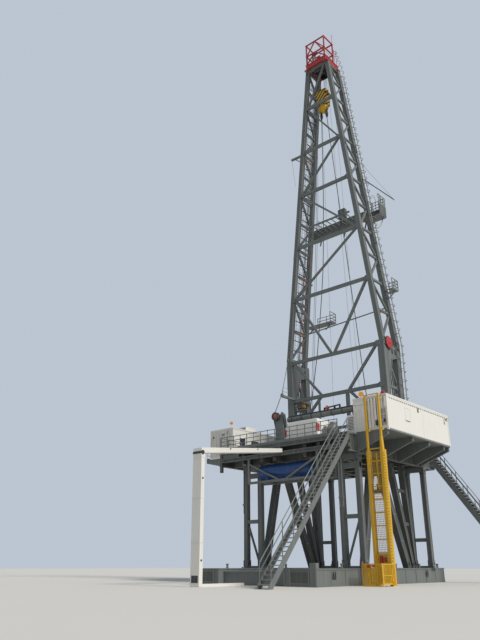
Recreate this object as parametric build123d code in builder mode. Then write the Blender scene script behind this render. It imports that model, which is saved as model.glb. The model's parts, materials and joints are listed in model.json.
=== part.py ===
"""Land drilling rig with a swing-up substructure, as a scale model at half the real size.

Frame: +Z up, +Y towards the open front of the mast, +X towards the driller's cabin.
All sketches are drawn about the well centre line, with z = 0 on the ground.
"""
from build123d import *
import math
import os

os.makedirs("parts", exist_ok=True)

# Base boxes
BASE_TOP = 550
BASE_OUT = 2750
BASE_WIDTH = 1300
BASE_REAR = -6600
BASE_FRONT = 2600
BASE_GIRT = 300

# Floor
FLOOR_TOP = 5250
DECK = 40
GIRDER = 660
FLOOR_LEFT = -3580
FLOOR_RIGHT = 2800
FLOOR_REAR = -4350
FLOOR_FRONT = 2650
GIRDER_WIDTH = 150
TABLE_RADIUS = 520
TABLE_BORE = 240
TABLE_HEIGHT = 90
CHORD_TOP = 180
CHORD_LOW = (4700, 4850)
CORNER_POST = 110

# Substructure legs and struts
COLUMN = 175
LEG_OUT = 2800
LEG_GAP = 750
LEG_REAR_Y = -3600
LEG_FRONT_Y = 1600
STRUT = 230
STRUT_X = 2300

# Mast
MAST_HALF = 2630
MAST_BEND = 9800
MAST_TOP = 26500
MAST_TOP_HALF = 720
MAST_REAR = -700
MAST_FRONT = 700
MAST_TOP_REAR = -700
MAST_TOP_FRONT = 480
MAST_LEG = 200
MAST_LEG_LOW = 300
GIRT = 150
BRACE = 90
BACK_DEPTH = 120
HOIST_Y = -230
SHOE = 120
GIRT_LEVELS = (7850, 12950, 15750, 18700, 21250, 23950)

# Boards, landing and boom on the mast
BOARD_Z = 16780
BOARD_LEFT = -1350
BOARD_RIGHT = 2330
BOARD_BOX = 1030
BOARD_FRONT = 1250
WIND_WALL = 600
STABBING_Z = 11930
STABBING_RIGHT = -900
LANDING_Z = 12550
BOOM_Z = (19080, 17150)
BOOM_X = 3200

# Crown
CROWN_BEAM = 300
CROWN_HALF = 640
CROWN_REAR = -800
CROWN_FRONT = 480
CROWN_RIB = 110
CROWN_BAY = 200
CAGE_HALF = CROWN_HALF - CROWN_RIB / 2
CAGE_FRONT = 120
CAGE_HEIGHT = 1420
CAGE_TOP = MAST_TOP + CROWN_BEAM + CAGE_HEIGHT
SPIKE_HEIGHT = 680
CROWN_TUBE = 60
SHEAVE_RADIUS = 310
SHEAVE_SIDES = 32
SHEAVE_WIDTH = 50
SHEAVES_X = (-90, -30, 30, 90)
CROWN_AXLE = MAST_TOP + 60

# Travelling block
BLOCK_AXLE = 24720
BLOCK_TAPER = 750
BLOCK_WIDTH = 520
BLOCK_GUARD = 25
SADDLE_WIDTH = 400
SADDLE_DROP = 400
SHOULDER = 60
LINK_X = 170
LINK_WIDTH = 90
LINK_DROP = 400
LINE = 16

# Driller's cabin and left cabin
CABIN_HEIGHT = 1225
HOUSE_OUT = 4200
HOUSE_REAR = -3800
HOUSE_FRONT = 1350
HUT_IN = -4150
HUT_OUT = -5550
HUT_REAR = -2900
HUT_FRONT = 1600
WALL = 40
DOOR_WIDTH = 420
DOOR_HEIGHT = 1000
DOOR_GAP = 6
KNUCKLE = 12

# Tank frame under the floor's rear edge
TANK_FRAME_LEFT = -2000
TANK_FRAME_RIGHT = 1400
TANK_FRAME_LOW = 3750
TANK_FRAME_DEPTH = 680
TANK_RADIUS = 285
TANK_LENGTH = 2350
TANK_X = -380

# Machines on the floor
DRUM_COVER_X = (-200, 1350)
DRUM_COVER_Y = (-4150, -3050)
DRUM_COVER_HEIGHT = 725
DRUM_COVER_SLOPE = (200, 225)
MOTOR_X = 1560
MOTOR_HEIGHT = 290
MOTOR_RADIUS = 220
MOTOR_LENGTH = 280
A_FRAME_Y = -2850
A_FRAME_Z = 6425
A_FRAME_RADIUS = 120
A_FRAME_X = (-1000, 2400)
ANCHOR_X = -440
ANCHOR_Y = -4150
ANCHOR_THICK = 120
ANCHOR_DRUM = 140
ANCHOR_DRUM_Z = 1030
ANCHOR_DRUM_WIDTH = 150

# Stairs
STAIR_WIDTH = 450
STAIR_IN = 2420
STAIR_RUN = 4850
SIDE_RUN = 3650
STRINGER = 140
PLATE = 20
TREAD = 130
TREAD_STEP = 131.25
RAIL = 24
RAIL_HEIGHT = 510

# Lift
LIFT_IN = 3360
LIFT_OUT = 4035
LIFT_Y = -4000
LIFT_TOP = 6640
LIFT_POST = 110
LIFT_DEPTH = 150
LIFT_STEP = 4500
FENCE_X = (3290, 4055)
FENCE_Y = (-4750, -3925)
FENCE_TOP = 700
GATE_Y = (-4690, -4090)

# Cable trough
TROUGH_X = -610
TROUGH_WIDTH = 400
TROUGH_DEPTH = 160
TROUGH_Y = -8850
TROUGH_TOP = 4250
TROUGH_END = 4875

# Ladder on the mast's right side
LADDER_OFF = 130
LADDER_WIDTH = 230
LADDER_STEP = 600

# Running gap at a seat, and the reach of the walkway outside the left cabin
SEAT = 0.3
WALKWAY = 250

# Place of the well centre line in the frame, so that the origin is under the middle of the rig
WELL_X = -(FLOOR_RIGHT + SIDE_RUN + HUT_OUT - WALKWAY) / 2
WELL_Y = -(FLOOR_REAR - STAIR_RUN + FLOOR_FRONT) / 2


def level(z):
    """A plane that lies flat at a height."""
    return Plane(origin=(WELL_X, WELL_Y, z))


def facing_rear(y):
    """An upright plane across the rig, drawn in x and z, that faces the rear."""
    return Plane(origin=(WELL_X, WELL_Y + y, 0), x_dir=(1, 0, 0), z_dir=(0, -1, 0))


def facing_side(x):
    """An upright plane along the rig, drawn in y and z, that faces the driller's side."""
    return Plane(origin=(WELL_X + x, WELL_Y, 0), x_dir=(0, 1, 0), z_dir=(1, 0, 0))


def bar(start, end, width):
    """Draw one straight bar in the sketch."""
    a = Vector(*start)
    b = Vector(*end)
    run = b - a
    with Locations((a + b) / 2):
        Rectangle(run.length, width, rotation=math.degrees(math.atan2(run.Y, run.X)))


def flat(plane, bars, depth):
    """Add a flat frame: bars of (start, end, width) on a plane, half the depth each side."""
    with BuildSketch(plane) as outline:
        for start, end, width in bars:
            bar(start, end, width)
    extrude(outline.sketch, amount=depth / 2, both=True)


def box(x, y, z, mode=Mode.ADD):
    """Add or cut a box given as low and high x, y and z."""
    with BuildSketch(level(z[0])) as base:
        with Locations(((x[0] + x[1]) / 2, (y[0] + y[1]) / 2)):
            Rectangle(x[1] - x[0], y[1] - y[0])
    extrude(base.sketch, amount=z[1] - z[0], mode=mode)


def polygon(plane, points, depth, mode=Mode.ADD):
    """Add or cut a prism with a straight-sided outline, half the depth each side of the plane."""
    with BuildSketch(plane) as outline:
        with BuildLine():
            Polyline(*points, close=True)
        make_face()
    extrude(outline.sketch, amount=depth / 2, both=True, mode=mode)


def rod(plane, centre, radius, length, mode=Mode.ADD):
    """Add or cut a round bar along a plane's normal, half the length each side."""
    with BuildSketch(plane) as outline:
        with Locations(centre):
            Circle(radius)
    extrude(outline.sketch, amount=length / 2, both=True, mode=mode)


def disc(plane, centre, radius, length, sides=SHEAVE_SIDES):
    """Add a round bar of flat facets, half the length each side of the plane."""
    with BuildSketch(plane) as outline:
        with Locations(centre):
            RegularPolygon(radius, sides)
    extrude(outline.sketch, amount=length / 2, both=True)


def save(part, name):
    """Label a piece and write it to its own file."""
    part.label = name
    export_step(part, "parts/" + name + ".step")


def base_boxes():
    """The two long boxes that the rig stands on, and the beams between them."""
    for side, name in ((1, "base_box_right"), (-1, "base_box_left")):
        inner = side * (BASE_OUT - BASE_WIDTH)
        outer = side * BASE_OUT
        with BuildPart() as base:
            box(sorted((inner, outer)), (BASE_REAR, BASE_FRONT), (0, BASE_TOP))
        save(base.part, name)
    inner = BASE_OUT - BASE_WIDTH
    with BuildPart() as beams:
        for y in (BASE_REAR + 400, LEG_REAR_Y, LEG_FRONT_Y, -900):
            box((-inner, inner), (y - BASE_GIRT / 2, y + BASE_GIRT / 2), (0, BASE_TOP - 100))
    save(beams.part, "base_cross_beams")


def leg_frames():
    """The four upright frames that carry the floor, each of two columns with cross pieces."""
    low = BASE_TOP
    high = FLOOR_TOP - DECK - GIRDER
    half = COLUMN / 2
    for name, y in (("rear_leg_frame", LEG_REAR_Y), ("front_leg_frame", LEG_FRONT_Y)):
        for side, word in ((1, "right"), (-1, "left")):
            out = side * LEG_OUT
            inn = side * (LEG_OUT - LEG_GAP - COLUMN)
            plane = facing_rear(y)
            between = (out - side * (COLUMN + SEAT), inn + side * (COLUMN + SEAT))
            middle = low + (high - low) * (0.44 if y < 0 else 0.27)
            with BuildPart() as legs:
                box(sorted((out, out - side * COLUMN)), (y - half, y + half), (low, high))
                box(sorted((inn, inn + side * COLUMN)), (y - half, y + half), (low, high))
                for z, height in ((low + 40, 80), (middle, 140), (high - half, COLUMN)):
                    box(sorted(between), (y - half, y + half), (z - height / 2, z + height / 2))
                if y < 0:
                    foot = low + 80 + SEAT
                    head = middle - 70 - SEAT
                    polygon(plane, ((between[1], foot), (between[1], foot + 140), (between[0], head),
                                    (between[0], head - 140)), COLUMN / 2)
            save(legs.part, name + "_" + word)


def struts():
    """The slanting struts between the leg frames, one flat frame on each side."""
    low = BASE_TOP
    high = FLOOR_TOP - DECK - GIRDER
    for side, word in ((1, "right"), (-1, "left")):
        plane = facing_side(side * STRUT_X)
        with BuildPart() as pair:
            for foot, head, half in ((-2950, -1950, 130), (300, -1500, 130), (660, -500, 90), (880, 450, 60)):
                polygon(plane, ((foot - half, low), (foot + half, low), (head + half, high),
                                (head - half, high)), STRUT)
            for z in (2150, 3450):
                share = (z - low) / (high - low)
                near = 660 - 1160 * share
                far = 880 - 430 * share
                polygon(plane, ((near, z), (far, z), (far, z + 130), (near, z + 130)), STRUT * 0.6)
        save(pair.part, "slant_struts_" + word)


def grid(z, xs, ys, reach, width):
    """Add long beams along the rig at each x, and cross beams between them at each y."""
    with BuildSketch(level(z[0])) as lines:
        for x in xs:
            with Locations((x, (reach[0] + reach[1]) / 2)):
                Rectangle(width, reach[1] - reach[0])
        for a, b in zip(xs, xs[1:]):
            for y in ys:
                with Locations(((a + b) / 2, y)):
                    Rectangle(b - a - width - 2 * SEAT, width)
    extrude(lines.sketch, amount=z[1] - z[0])


def floor():
    """The floor's girders, its plates round the table hole, and the brackets under the cabins."""
    low = FLOOR_TOP - DECK - GIRDER
    high = FLOOR_TOP - DECK
    half = GIRDER_WIDTH / 2
    with BuildPart() as girders:
        xs = (FLOOR_LEFT + half, -2430, -1400, -750, 750, 1400, FLOOR_RIGHT - half)
        ys = (LEG_REAR_Y, -2300, HOIST_Y - 750, HOIST_Y + 750, LEG_FRONT_Y, FLOOR_FRONT - half)
        edge = (FLOOR_REAR, FLOOR_REAR + GIRDER_WIDTH)
        grid((low, high), xs, ys, (edge[1] + SEAT, FLOOR_FRONT), GIRDER_WIDTH)
        box((FLOOR_LEFT, FLOOR_RIGHT), edge, (high - CHORD_TOP, high))
        box((FLOOR_LEFT, FLOOR_RIGHT), edge, CHORD_LOW)
        for x in (FLOOR_LEFT, ANCHOR_X, FLOOR_RIGHT - 2 * STAIR_WIDTH):
            box((x, x + CORNER_POST), edge, (CHORD_LOW[1] + SEAT, high - CHORD_TOP - SEAT))
        box((FLOOR_LEFT, FLOOR_LEFT + CORNER_POST), (FLOOR_REAR, FLOOR_REAR + CORNER_POST),
            (low - 250, CHORD_LOW[0] - SEAT))
    save(girders.part, "floor_girders")
    gap = 2
    hole = TABLE_RADIUS + SEAT
    with BuildPart() as plates:
        box((FLOOR_LEFT, FLOOR_RIGHT), (FLOOR_REAR, HOIST_Y - hole - gap), (high, FLOOR_TOP))
        box((FLOOR_LEFT, FLOOR_RIGHT), (HOIST_Y + hole + gap, FLOOR_FRONT), (high, FLOOR_TOP))
        box((FLOOR_LEFT, -hole), (HOIST_Y - hole, HOIST_Y + hole), (high, FLOOR_TOP))
        box((hole, FLOOR_RIGHT), (HOIST_Y - hole, HOIST_Y + hole), (high, FLOOR_TOP))
        box((HUT_IN + SEAT, FLOOR_LEFT - SEAT), (HUT_REAR, HUT_FRONT), (high, FLOOR_TOP))
        box((HUT_OUT - WALKWAY, HUT_OUT - SEAT), (HUT_REAR, HUT_FRONT), (high, FLOOR_TOP))
    save(plates.part, "floor_plates")
    with BuildPart() as table:
        with BuildSketch(level(high)) as seat:
            with Locations((0, HOIST_Y)):
                Rectangle(2 * TABLE_RADIUS, 2 * TABLE_RADIUS)
        extrude(seat.sketch, amount=DECK)
        rod(level(FLOOR_TOP + TABLE_HEIGHT / 2), (0, HOIST_Y), TABLE_RADIUS - 60, TABLE_HEIGHT)
        box((-750 + half, 750 - half), (HOIST_Y - 300, HOIST_Y + 300), (high - 200, high))
        rod(level(high), (0, HOIST_Y), TABLE_BORE, 1000, Mode.SUBTRACT)
    save(table.part, "rotary_table")
    with BuildPart() as brackets:
        for y in (HOUSE_REAR + 60, -1850, -500, 850, HOUSE_FRONT - 60):
            points = ((FLOOR_RIGHT, high), (HOUSE_OUT - 60, high), (HOUSE_OUT - 60, high - 150),
                      (FLOOR_RIGHT, high - GIRDER))
            polygon(facing_rear(y), points, 100)
    save(brackets.part, "cabin_brackets_right")
    with BuildPart() as brackets:
        for y in (HUT_REAR + 60, -700, HUT_FRONT - 60):
            points = ((FLOOR_LEFT, high), (HUT_OUT - WALKWAY, high), (HUT_OUT - WALKWAY, high - 150),
                      (FLOOR_LEFT, high - GIRDER))
            polygon(facing_rear(y), points, 100)
    save(brackets.part, "cabin_brackets_left")


def knuckle(axis, z, arm):
    """Add a hinge knuckle about an upright axis, with an arm that reaches a leaf or a wall."""
    height = z[1] - z[0]
    rod(level((z[0] + z[1]) / 2), axis, KNUCKLE, height)
    box(sorted((axis[0], arm[0])), sorted((axis[1], arm[1])), z)


def cabin(name, x, y, doorway, knuckles):
    """A cabin with a floor, four walls, a roof and a doorway in its inner wall."""
    z0 = FLOOR_TOP - DECK
    z1 = z0 + 60
    z2 = z1 + CABIN_HEIGHT
    with BuildPart() as bottom:
        box(x, y, (z0, z1))
    save(bottom.part, name + "_floor")
    with BuildPart() as walls:
        box(x, y, (z1, z2))
        box((x[0] + WALL, x[1] - WALL), (y[0] + WALL, y[1] - WALL), (z1, z2), Mode.SUBTRACT)
        for wx, wy, wz in doorway:
            box(wx, wy, wz, Mode.SUBTRACT)
        for axis, height, arm in knuckles:
            knuckle(axis, height, arm)
    save(walls.part, name + "_walls")
    with BuildPart() as roof:
        box((x[0] - 15, x[1] + 15), (y[0] - 15, y[1] + 15), (z2, z2 + 50))
    save(roof.part, name + "_roof")


def cabins():
    """The driller's cabin with its door, and the left cabin."""
    z1 = FLOOR_TOP - DECK + 60
    door_x = (FLOOR_RIGHT + 80, FLOOR_RIGHT + 80 + DOOR_WIDTH)
    wall_y = (HOUSE_REAR - 5, HOUSE_REAR + WALL + 5)
    inner = (FLOOR_RIGHT - 5, FLOOR_RIGHT + WALL + 5)
    front = (HOUSE_FRONT - WALL - 5, HOUSE_FRONT + 5)
    sill = z1 + 480
    cuts = [(door_x, wall_y, (z1, z1 + DOOR_HEIGHT))]
    cuts += [(inner, (y, y + 620), (sill, sill + 460)) for y in (-1750, -1030, -310, 410)]
    cuts.append(((FLOOR_RIGHT + 200, HOUSE_OUT - 200), front, (sill, sill + 460)))
    hinge = (door_x[0], HOUSE_REAR - KNUCKLE)
    lugs = (z1 + 150, z1 + DOOR_HEIGHT - 220)
    arms = [(hinge, (z + 25, z + 50), (door_x[0] - 30, HOUSE_REAR)) for z in lugs]
    cabin("driller_cabin", (FLOOR_RIGHT + SEAT, HOUSE_OUT), (HOUSE_REAR, HOUSE_FRONT), cuts, arms)
    with BuildPart() as door:
        box((door_x[0] + DOOR_GAP, door_x[1] - DOOR_GAP), (HOUSE_REAR, HOUSE_REAR + WALL),
            (z1 + DOOR_GAP, z1 + DOOR_HEIGHT - DOOR_GAP))
        for z in lugs:
            for part in (0, 1):
                low = z + part * (50 + SEAT)
                knuckle(hinge, (low, low + 25 - SEAT), (door_x[0] + 30, HOUSE_REAR))
    save(door.part, "driller_cabin_door")
    with BuildPart() as service:
        box((FLOOR_RIGHT - 300, FLOOR_RIGHT - 20), (HOUSE_REAR, HOUSE_REAR + 700), (FLOOR_TOP, FLOOR_TOP + 700))
    save(service.part, "service_box")
    inner = (HUT_IN - WALL - 5, HUT_IN + 5)
    cuts = [(inner, (700, 700 + DOOR_WIDTH), (z1, z1 + DOOR_HEIGHT)), (inner, (-2450, -2050), (z1 + 500, z1 + 850))]
    cabin("left_cabin", (HUT_OUT, HUT_IN), (HUT_REAR, HUT_FRONT), cuts, [])


def floor_machines():
    """The tank under the floor, the drawworks cover, its motor, the line anchor and the A-frame beam."""
    z0 = TANK_FRAME_LOW
    z1 = FLOOR_TOP - DECK - GIRDER
    rear = FLOOR_REAR + 60
    with BuildPart() as frame:
        bars = [((TANK_FRAME_LEFT, z0), (TANK_FRAME_RIGHT, z0), 90)]
        middle = (TANK_FRAME_RIGHT + TANK_FRAME_LEFT) / 2
        for x, side in ((TANK_FRAME_LEFT, -1), (TANK_FRAME_RIGHT, 1)):
            bars.append(((x, z0 - 45), (x, CHORD_LOW[0] - SEAT), 90))
            bars.append(((middle + side * 120, z0), (x - side * 40, z1 - 60), 60))
        flat(facing_rear(rear), bars, 90)
        inner = LEG_OUT - 2 * COLUMN - LEG_GAP + 115
        bars = [((-inner, z0), (inner, z0), 90)]
        bars += [((x, z0 - 45), (x, z1), 90) for x in (-inner + 45, inner - 45)]
        flat(facing_rear(rear + TANK_FRAME_DEPTH), bars, 90)
        for x in (TANK_X - TANK_LENGTH / 3, TANK_X + TANK_LENGTH / 3):
            box((x - 45, x + 45), (rear, rear + TANK_FRAME_DEPTH), (z0 - 45, z0 + 45))
    save(frame.part, "tank_frame")
    middle = rear + TANK_FRAME_DEPTH / 2
    centre = z0 + 45 + 60 + TANK_RADIUS
    with BuildPart() as tank:
        rod(facing_side(TANK_X), (middle, centre), TANK_RADIUS, TANK_LENGTH)
        for x in (TANK_X - TANK_LENGTH / 3, TANK_X + TANK_LENGTH / 3):
            box((x - 30, x + 30), (middle - TANK_RADIUS * 0.7, middle + TANK_RADIUS * 0.7), (z0 + 45, centre - 150))
    save(tank.part, "air_tank")
    with BuildPart() as cover:
        x0, x1 = DRUM_COVER_X
        lid = FLOOR_TOP + DRUM_COVER_HEIGHT
        points = ((x0, FLOOR_TOP), (x1, FLOOR_TOP), (x1, lid), (x0 + DRUM_COVER_SLOPE[0], lid),
                  (x0, lid - DRUM_COVER_SLOPE[1]))
        polygon(facing_rear(sum(DRUM_COVER_Y) / 2), points, DRUM_COVER_Y[1] - DRUM_COVER_Y[0])
    save(cover.part, "drawworks_cover")
    with BuildPart() as motor:
        y = sum(DRUM_COVER_Y) / 2
        box((MOTOR_X - 140, MOTOR_X), (y - 250, y + 250), (FLOOR_TOP, FLOOR_TOP + MOTOR_HEIGHT + 140))
        rod(facing_side(MOTOR_X + MOTOR_LENGTH / 2), (y, FLOOR_TOP + MOTOR_HEIGHT), MOTOR_RADIUS, MOTOR_LENGTH)
        box((MOTOR_X + 40, MOTOR_X + MOTOR_LENGTH - 40), (y - 180, y + 180), (FLOOR_TOP, FLOOR_TOP + MOTOR_HEIGHT - 90))
    save(motor.part, "drawworks_motor")
    with BuildPart() as anchor:
        x = ANCHOR_X
        axle = FLOOR_TOP + ANCHOR_DRUM_Z
        points = ((x - 220, FLOOR_TOP), (x + 220, FLOOR_TOP), (x + 180, axle - 50), (x + 240, axle + 60),
                  (x + 120, axle + 180), (x + 20, axle + 40), (x - 120, axle + 120), (x - 200, axle))
        polygon(facing_rear(ANCHOR_Y), points, ANCHOR_THICK)
    save(anchor.part, "line_anchor")
    with BuildPart() as drum:
        middle = ANCHOR_Y - (ANCHOR_THICK + ANCHOR_DRUM_WIDTH) / 2
        rod(facing_rear(middle), (ANCHOR_X - 110, FLOOR_TOP + ANCHOR_DRUM_Z), ANCHOR_DRUM, ANCHOR_DRUM_WIDTH)
    save(drum.part, "line_anchor_drum")
    with BuildPart() as beam:
        x0, x1 = A_FRAME_X
        rod(facing_side((x0 + x1) / 2), (A_FRAME_Y, A_FRAME_Z), A_FRAME_RADIUS, x1 - x0)
        half = A_FRAME_RADIUS / 2
        for x in (x0 + 150, x1 - 150):
            box((x - half, x + half), (A_FRAME_Y - half, A_FRAME_Y + half), (FLOOR_TOP, A_FRAME_Z))
    save(beam.part, "a_frame_beam")


def railing(plane, start, end, posts, foot):
    """Add a run of guard rail with three rails, posts and a kick board."""
    bars = [((start, foot + 25), (end, foot + 25), 50)]
    for share in (0.34, 0.67, 1.0):
        z = foot + RAIL_HEIGHT * share
        bars.append(((start, z), (end, z), RAIL))
    for i in range(posts):
        x = start + (end - start) * i / (posts - 1)
        bars.append(((x, foot), (x, foot + RAIL_HEIGHT + RAIL / 2), RAIL))
    flat(plane, bars, RAIL)


def railings():
    """The guard rails along the floor's edges."""
    edge = RAIL / 2
    with BuildPart() as rear:
        railing(facing_rear(FLOOR_REAR + edge), FLOOR_LEFT + edge, STAIR_IN - 40, 9, FLOOR_TOP)
    save(rear.part, "rear_railing")
    with BuildPart() as others:
        railing(facing_side(FLOOR_LEFT + edge), FLOOR_REAR + 60, HUT_REAR - 60, 4, FLOOR_TOP)
        railing(facing_rear(FLOOR_FRONT - edge), FLOOR_LEFT + edge, -1200, 5, FLOOR_TOP)
        railing(facing_rear(FLOOR_FRONT - edge), 1200, FLOOR_RIGHT - 60, 4, FLOOR_TOP)
    save(others.part, "side_railings")
    with BuildPart() as walk:
        railing(facing_side(HUT_OUT - WALKWAY + edge), HUT_REAR + 12, HUT_FRONT - 12, 7, FLOOR_TOP)
    save(walk.part, "walkway_railing")


def stair(name, plane_at, across, top, run):
    """A stair flight: two side panels with rails, and treads between them."""
    rise = FLOOR_TOP
    sign = 1 if run > 0 else -1
    slope = rise / abs(run)
    foot = top + run
    with BuildPart() as sides:
        for offset in (across[0] + PLATE / 2, across[1] - PLATE / 2):
            with BuildSketch(plane_at(offset)) as panel:
                with BuildLine():
                    Polyline((top, rise), (foot, 0), (foot - sign * 260, 0), (top, rise - 260 * slope),
                             close=True)
                make_face()
                for lift in (RAIL_HEIGHT * 0.5, RAIL_HEIGHT):
                    bar((top + sign * RAIL, rise + lift - RAIL * slope), (foot - sign * 200, lift + 200 * slope), RAIL)
                for i in range(9):
                    share = 0.02 + 0.94 * i / 8
                    x = top + run * share
                    z = rise * (1 - share)
                    bar((x, z - 60), (x, z + RAIL_HEIGHT), RAIL)
            extrude(panel.sketch, amount=PLATE / 2, both=True)
    save(sides.part, name + "_sides")
    with BuildPart() as treads:
        count = int(rise / TREAD_STEP) - 1
        middle = (across[0] + across[1]) / 2
        with BuildSketch(plane_at(middle)) as steps:
            for i in range(1, count + 1):
                z = rise - i * TREAD_STEP
                x = top + sign * ((i - 1) * TREAD_STEP / slope + 2)
                with Locations((x + sign * TREAD / 2, z - PLATE / 2)):
                    Rectangle(TREAD, PLATE)
        extrude(steps.sketch, amount=(across[1] - across[0]) / 2 - PLATE, both=True)
    save(treads.part, name + "_treads")


def stairs():
    """The rear stair down to the ground and the side stair at the front right corner."""
    stair("rear_stair", facing_side, (STAIR_IN, STAIR_IN + STAIR_WIDTH), FLOOR_REAR, -STAIR_RUN)
    stair("side_stair", facing_rear, (FLOOR_FRONT - STAIR_WIDTH, FLOOR_FRONT), FLOOR_RIGHT, SIDE_RUN)


def lift_tower():
    """The lift's tower: two posts, rungs between them and a tie to the cabin's floor."""
    half = LIFT_POST / 2
    with BuildPart() as tower:
        plane = facing_rear(LIFT_Y)
        bars = [((LIFT_IN + half, 0), (LIFT_IN + half, LIFT_TOP), LIFT_POST),
                ((LIFT_OUT - half, 0), (LIFT_OUT - half, LIFT_TOP), LIFT_POST),
                ((LIFT_IN, LIFT_TOP - half), (LIFT_OUT, LIFT_TOP - half), LIFT_POST * 0.6)]
        flat(plane, bars, LIFT_DEPTH)
        rungs = [((LIFT_IN + half, z), (LIFT_OUT - half, z), 40) for z in range(600, 5000, 440)]
        flat(facing_rear(LIFT_Y + LIFT_DEPTH / 2 - 15), rungs, 30)
        rear = LIFT_Y + LIFT_DEPTH / 2
        for x, depth in ((LIFT_OUT - LIFT_POST, 110), (LIFT_IN, 50)):
            box((x, x + LIFT_POST), (rear, rear + depth), (0, LIFT_STEP))
        for x in (LIFT_IN + half, LIFT_OUT - half):
            box((x - 30, x + 30), (LIFT_Y, HOUSE_REAR), (FLOOR_TOP - DECK, FLOOR_TOP - DECK + 60))
    save(tower.part, "lift_tower")


def lift_car():
    """The lift's car, open on the gate's side, with guide shoes beside the posts."""
    inner = (LIFT_IN + LIFT_POST + 6, LIFT_OUT - LIFT_POST - 6)
    y1 = LIFT_Y + LIFT_DEPTH / 2 - 30 - 6
    y0 = LIFT_Y - LIFT_DEPTH / 2 - 500
    top = 1150
    with BuildPart() as car:
        box(inner, (y0, y1), (80, 120))
        box(inner, (y1 - 30, y1), (120 + SEAT, top))
        side = (inner[0], inner[0] + 30)
        for x in (side, (inner[1] - 30, inner[1])):
            box(x, (y0, y0 + 30), (120 + SEAT, top))
            box(x, (y0, y1 - 30 - SEAT), (top + SEAT, top + 30))
        for z in (350, 600):
            box(side, (y0 + 30 + SEAT, y1 - 30 - SEAT), (z, z + 30))
            box((side[1] + SEAT, inner[1] - 30 - SEAT), (y0, y0 + 30), (z, z + 30))
        for z in (200, 1050):
            box((LIFT_IN + LIFT_POST + SEAT, inner[0] - SEAT), (y1 - 60, y1), (z, z + 60))
            box((inner[1] + SEAT, LIFT_OUT - LIFT_POST - SEAT), (y1 - 60, y1), (z, z + 60))
    save(car.part, "lift_car")


def slats(plane, start, end, z, gap):
    """Add a flat fence panel: slats between two rails."""
    count = max(1, round((end - start - 20) / gap))
    step = (end - start - 20) / count
    bars = [((start + 10 + i * step, z[0]), (start + 10 + i * step, z[1]), 20) for i in range(count + 1)]
    bars += [((start, z[0] + 20), (end, z[0] + 20), 40), ((start, z[1] - 15), (end, z[1] - 15), 30)]
    flat(plane, bars, 20)


def lift_fence():
    """The fence round the lift's foot, and its gate on the driller's side."""
    x0, x1 = FENCE_X
    y0, y1 = FENCE_Y
    z = (0, FENCE_TOP)
    lugs = (60, 560)
    hinge = (x1 + KNUCKLE, GATE_Y[1])
    with BuildPart() as fence:
        slats(facing_rear(y0 + 10), x0, x1, z, 90)
        slats(facing_side(x0 + 10), y0 + 20 + SEAT, y1, z, 90)
        for low in (10, FENCE_TOP - 40):
            box((x0 + 10, LIFT_IN - SEAT), (y1 - 30, y1), (low, low + 30))
        slats(facing_side(x1 - 10), y0 + 20 + SEAT, GATE_Y[0], z, 90)
        slats(facing_side(x1 - 10), GATE_Y[1], y1, z, 90)
        for low in lugs:
            knuckle(hinge, (low + 25, low + 50), (x1 - 10, GATE_Y[1] + 20))
    save(fence.part, "lift_fence")
    with BuildPart() as gate:
        start = GATE_Y[0] + DOOR_GAP
        end = GATE_Y[1] - DOOR_GAP
        slats(facing_side(x1 - 10), start, end, (60, FENCE_TOP), 95)
        for low in lugs:
            for part in (0, 1):
                z0 = low + part * (50 + SEAT)
                knuckle(hinge, (z0, z0 + 25 - SEAT), (x1 - 10, end - 20))
    save(gate.part, "lift_gate")


def mast_half(z):
    """Half the mast's width over its legs at a height."""
    if z <= MAST_BEND:
        return MAST_HALF
    return MAST_HALF - (MAST_HALF - MAST_TOP_HALF) * (z - MAST_BEND) / (MAST_TOP - MAST_BEND)


def mast_edges(z):
    """Rear and front outer edges of the mast's side panels at a height."""
    share = max(0, (z - MAST_BEND) / (MAST_TOP - MAST_BEND))
    return (MAST_REAR + (MAST_TOP_REAR - MAST_REAR) * share,
            MAST_FRONT + (MAST_TOP_FRONT - MAST_FRONT) * share)


def side_panel(side, z0, z1, leg, nodes):
    """One side panel of the mast: a rear leg, a front leg and a zigzag between the heights of its nodes."""
    y0 = mast_edges(z0)
    y1 = mast_edges(z1)
    low = Vector(side * mast_half(z0), 0, z0)
    high = Vector(side * mast_half(z1), 0, z1)
    rise = (high - low).length
    up = (high - low).normalized()
    normal = Vector(0, 1, 0).cross(up)
    origin = low - normal * (leg / 2 * side)
    plane = Plane(origin=(WELL_X + origin.X, WELL_Y, origin.Z), x_dir=(0, 1, 0), z_dir=normal)
    rear = ((y0[0] + leg / 2, 0), (y1[0] + leg / 2, rise))
    front = ((y0[1] - leg / 2, 0), (y1[1] - leg / 2, rise))

    def on(line, share):
        return (line[0][0] + (line[1][0] - line[0][0]) * share, rise * share)

    over = leg / rise
    with BuildSketch(plane) as legs:
        for line in (rear, front):
            bar(on(line, -over), on(line, 1 + over), leg)
    extrude(legs.sketch, amount=leg / 2, both=True)
    with BuildSketch(plane) as web:
        shares = [(z - z0) / (z1 - z0) for z in nodes]
        for i, (a, b) in enumerate(zip(shares, shares[1:])):
            bar(on(rear, b), on(front, b), BRACE * 1.2)
            if i % 2:
                bar(on(front, a), on(rear, b), BRACE)
            else:
                bar(on(rear, a), on(front, b), BRACE)
    extrude(web.sketch, amount=BRACE / 2, both=True)
    reach = (-2 * MAST_HALF, 2 * MAST_HALF)
    box(reach, reach, (z0 - 2 * leg, z0), Mode.SUBTRACT)
    box(reach, reach, (z1, z1 + 2 * leg), Mode.SUBTRACT)


def mast_reach(z, leg):
    """Half the clear width between the mast's side panels at a height."""
    return mast_half(z) - mast_inset(leg, z) - SEAT


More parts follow.
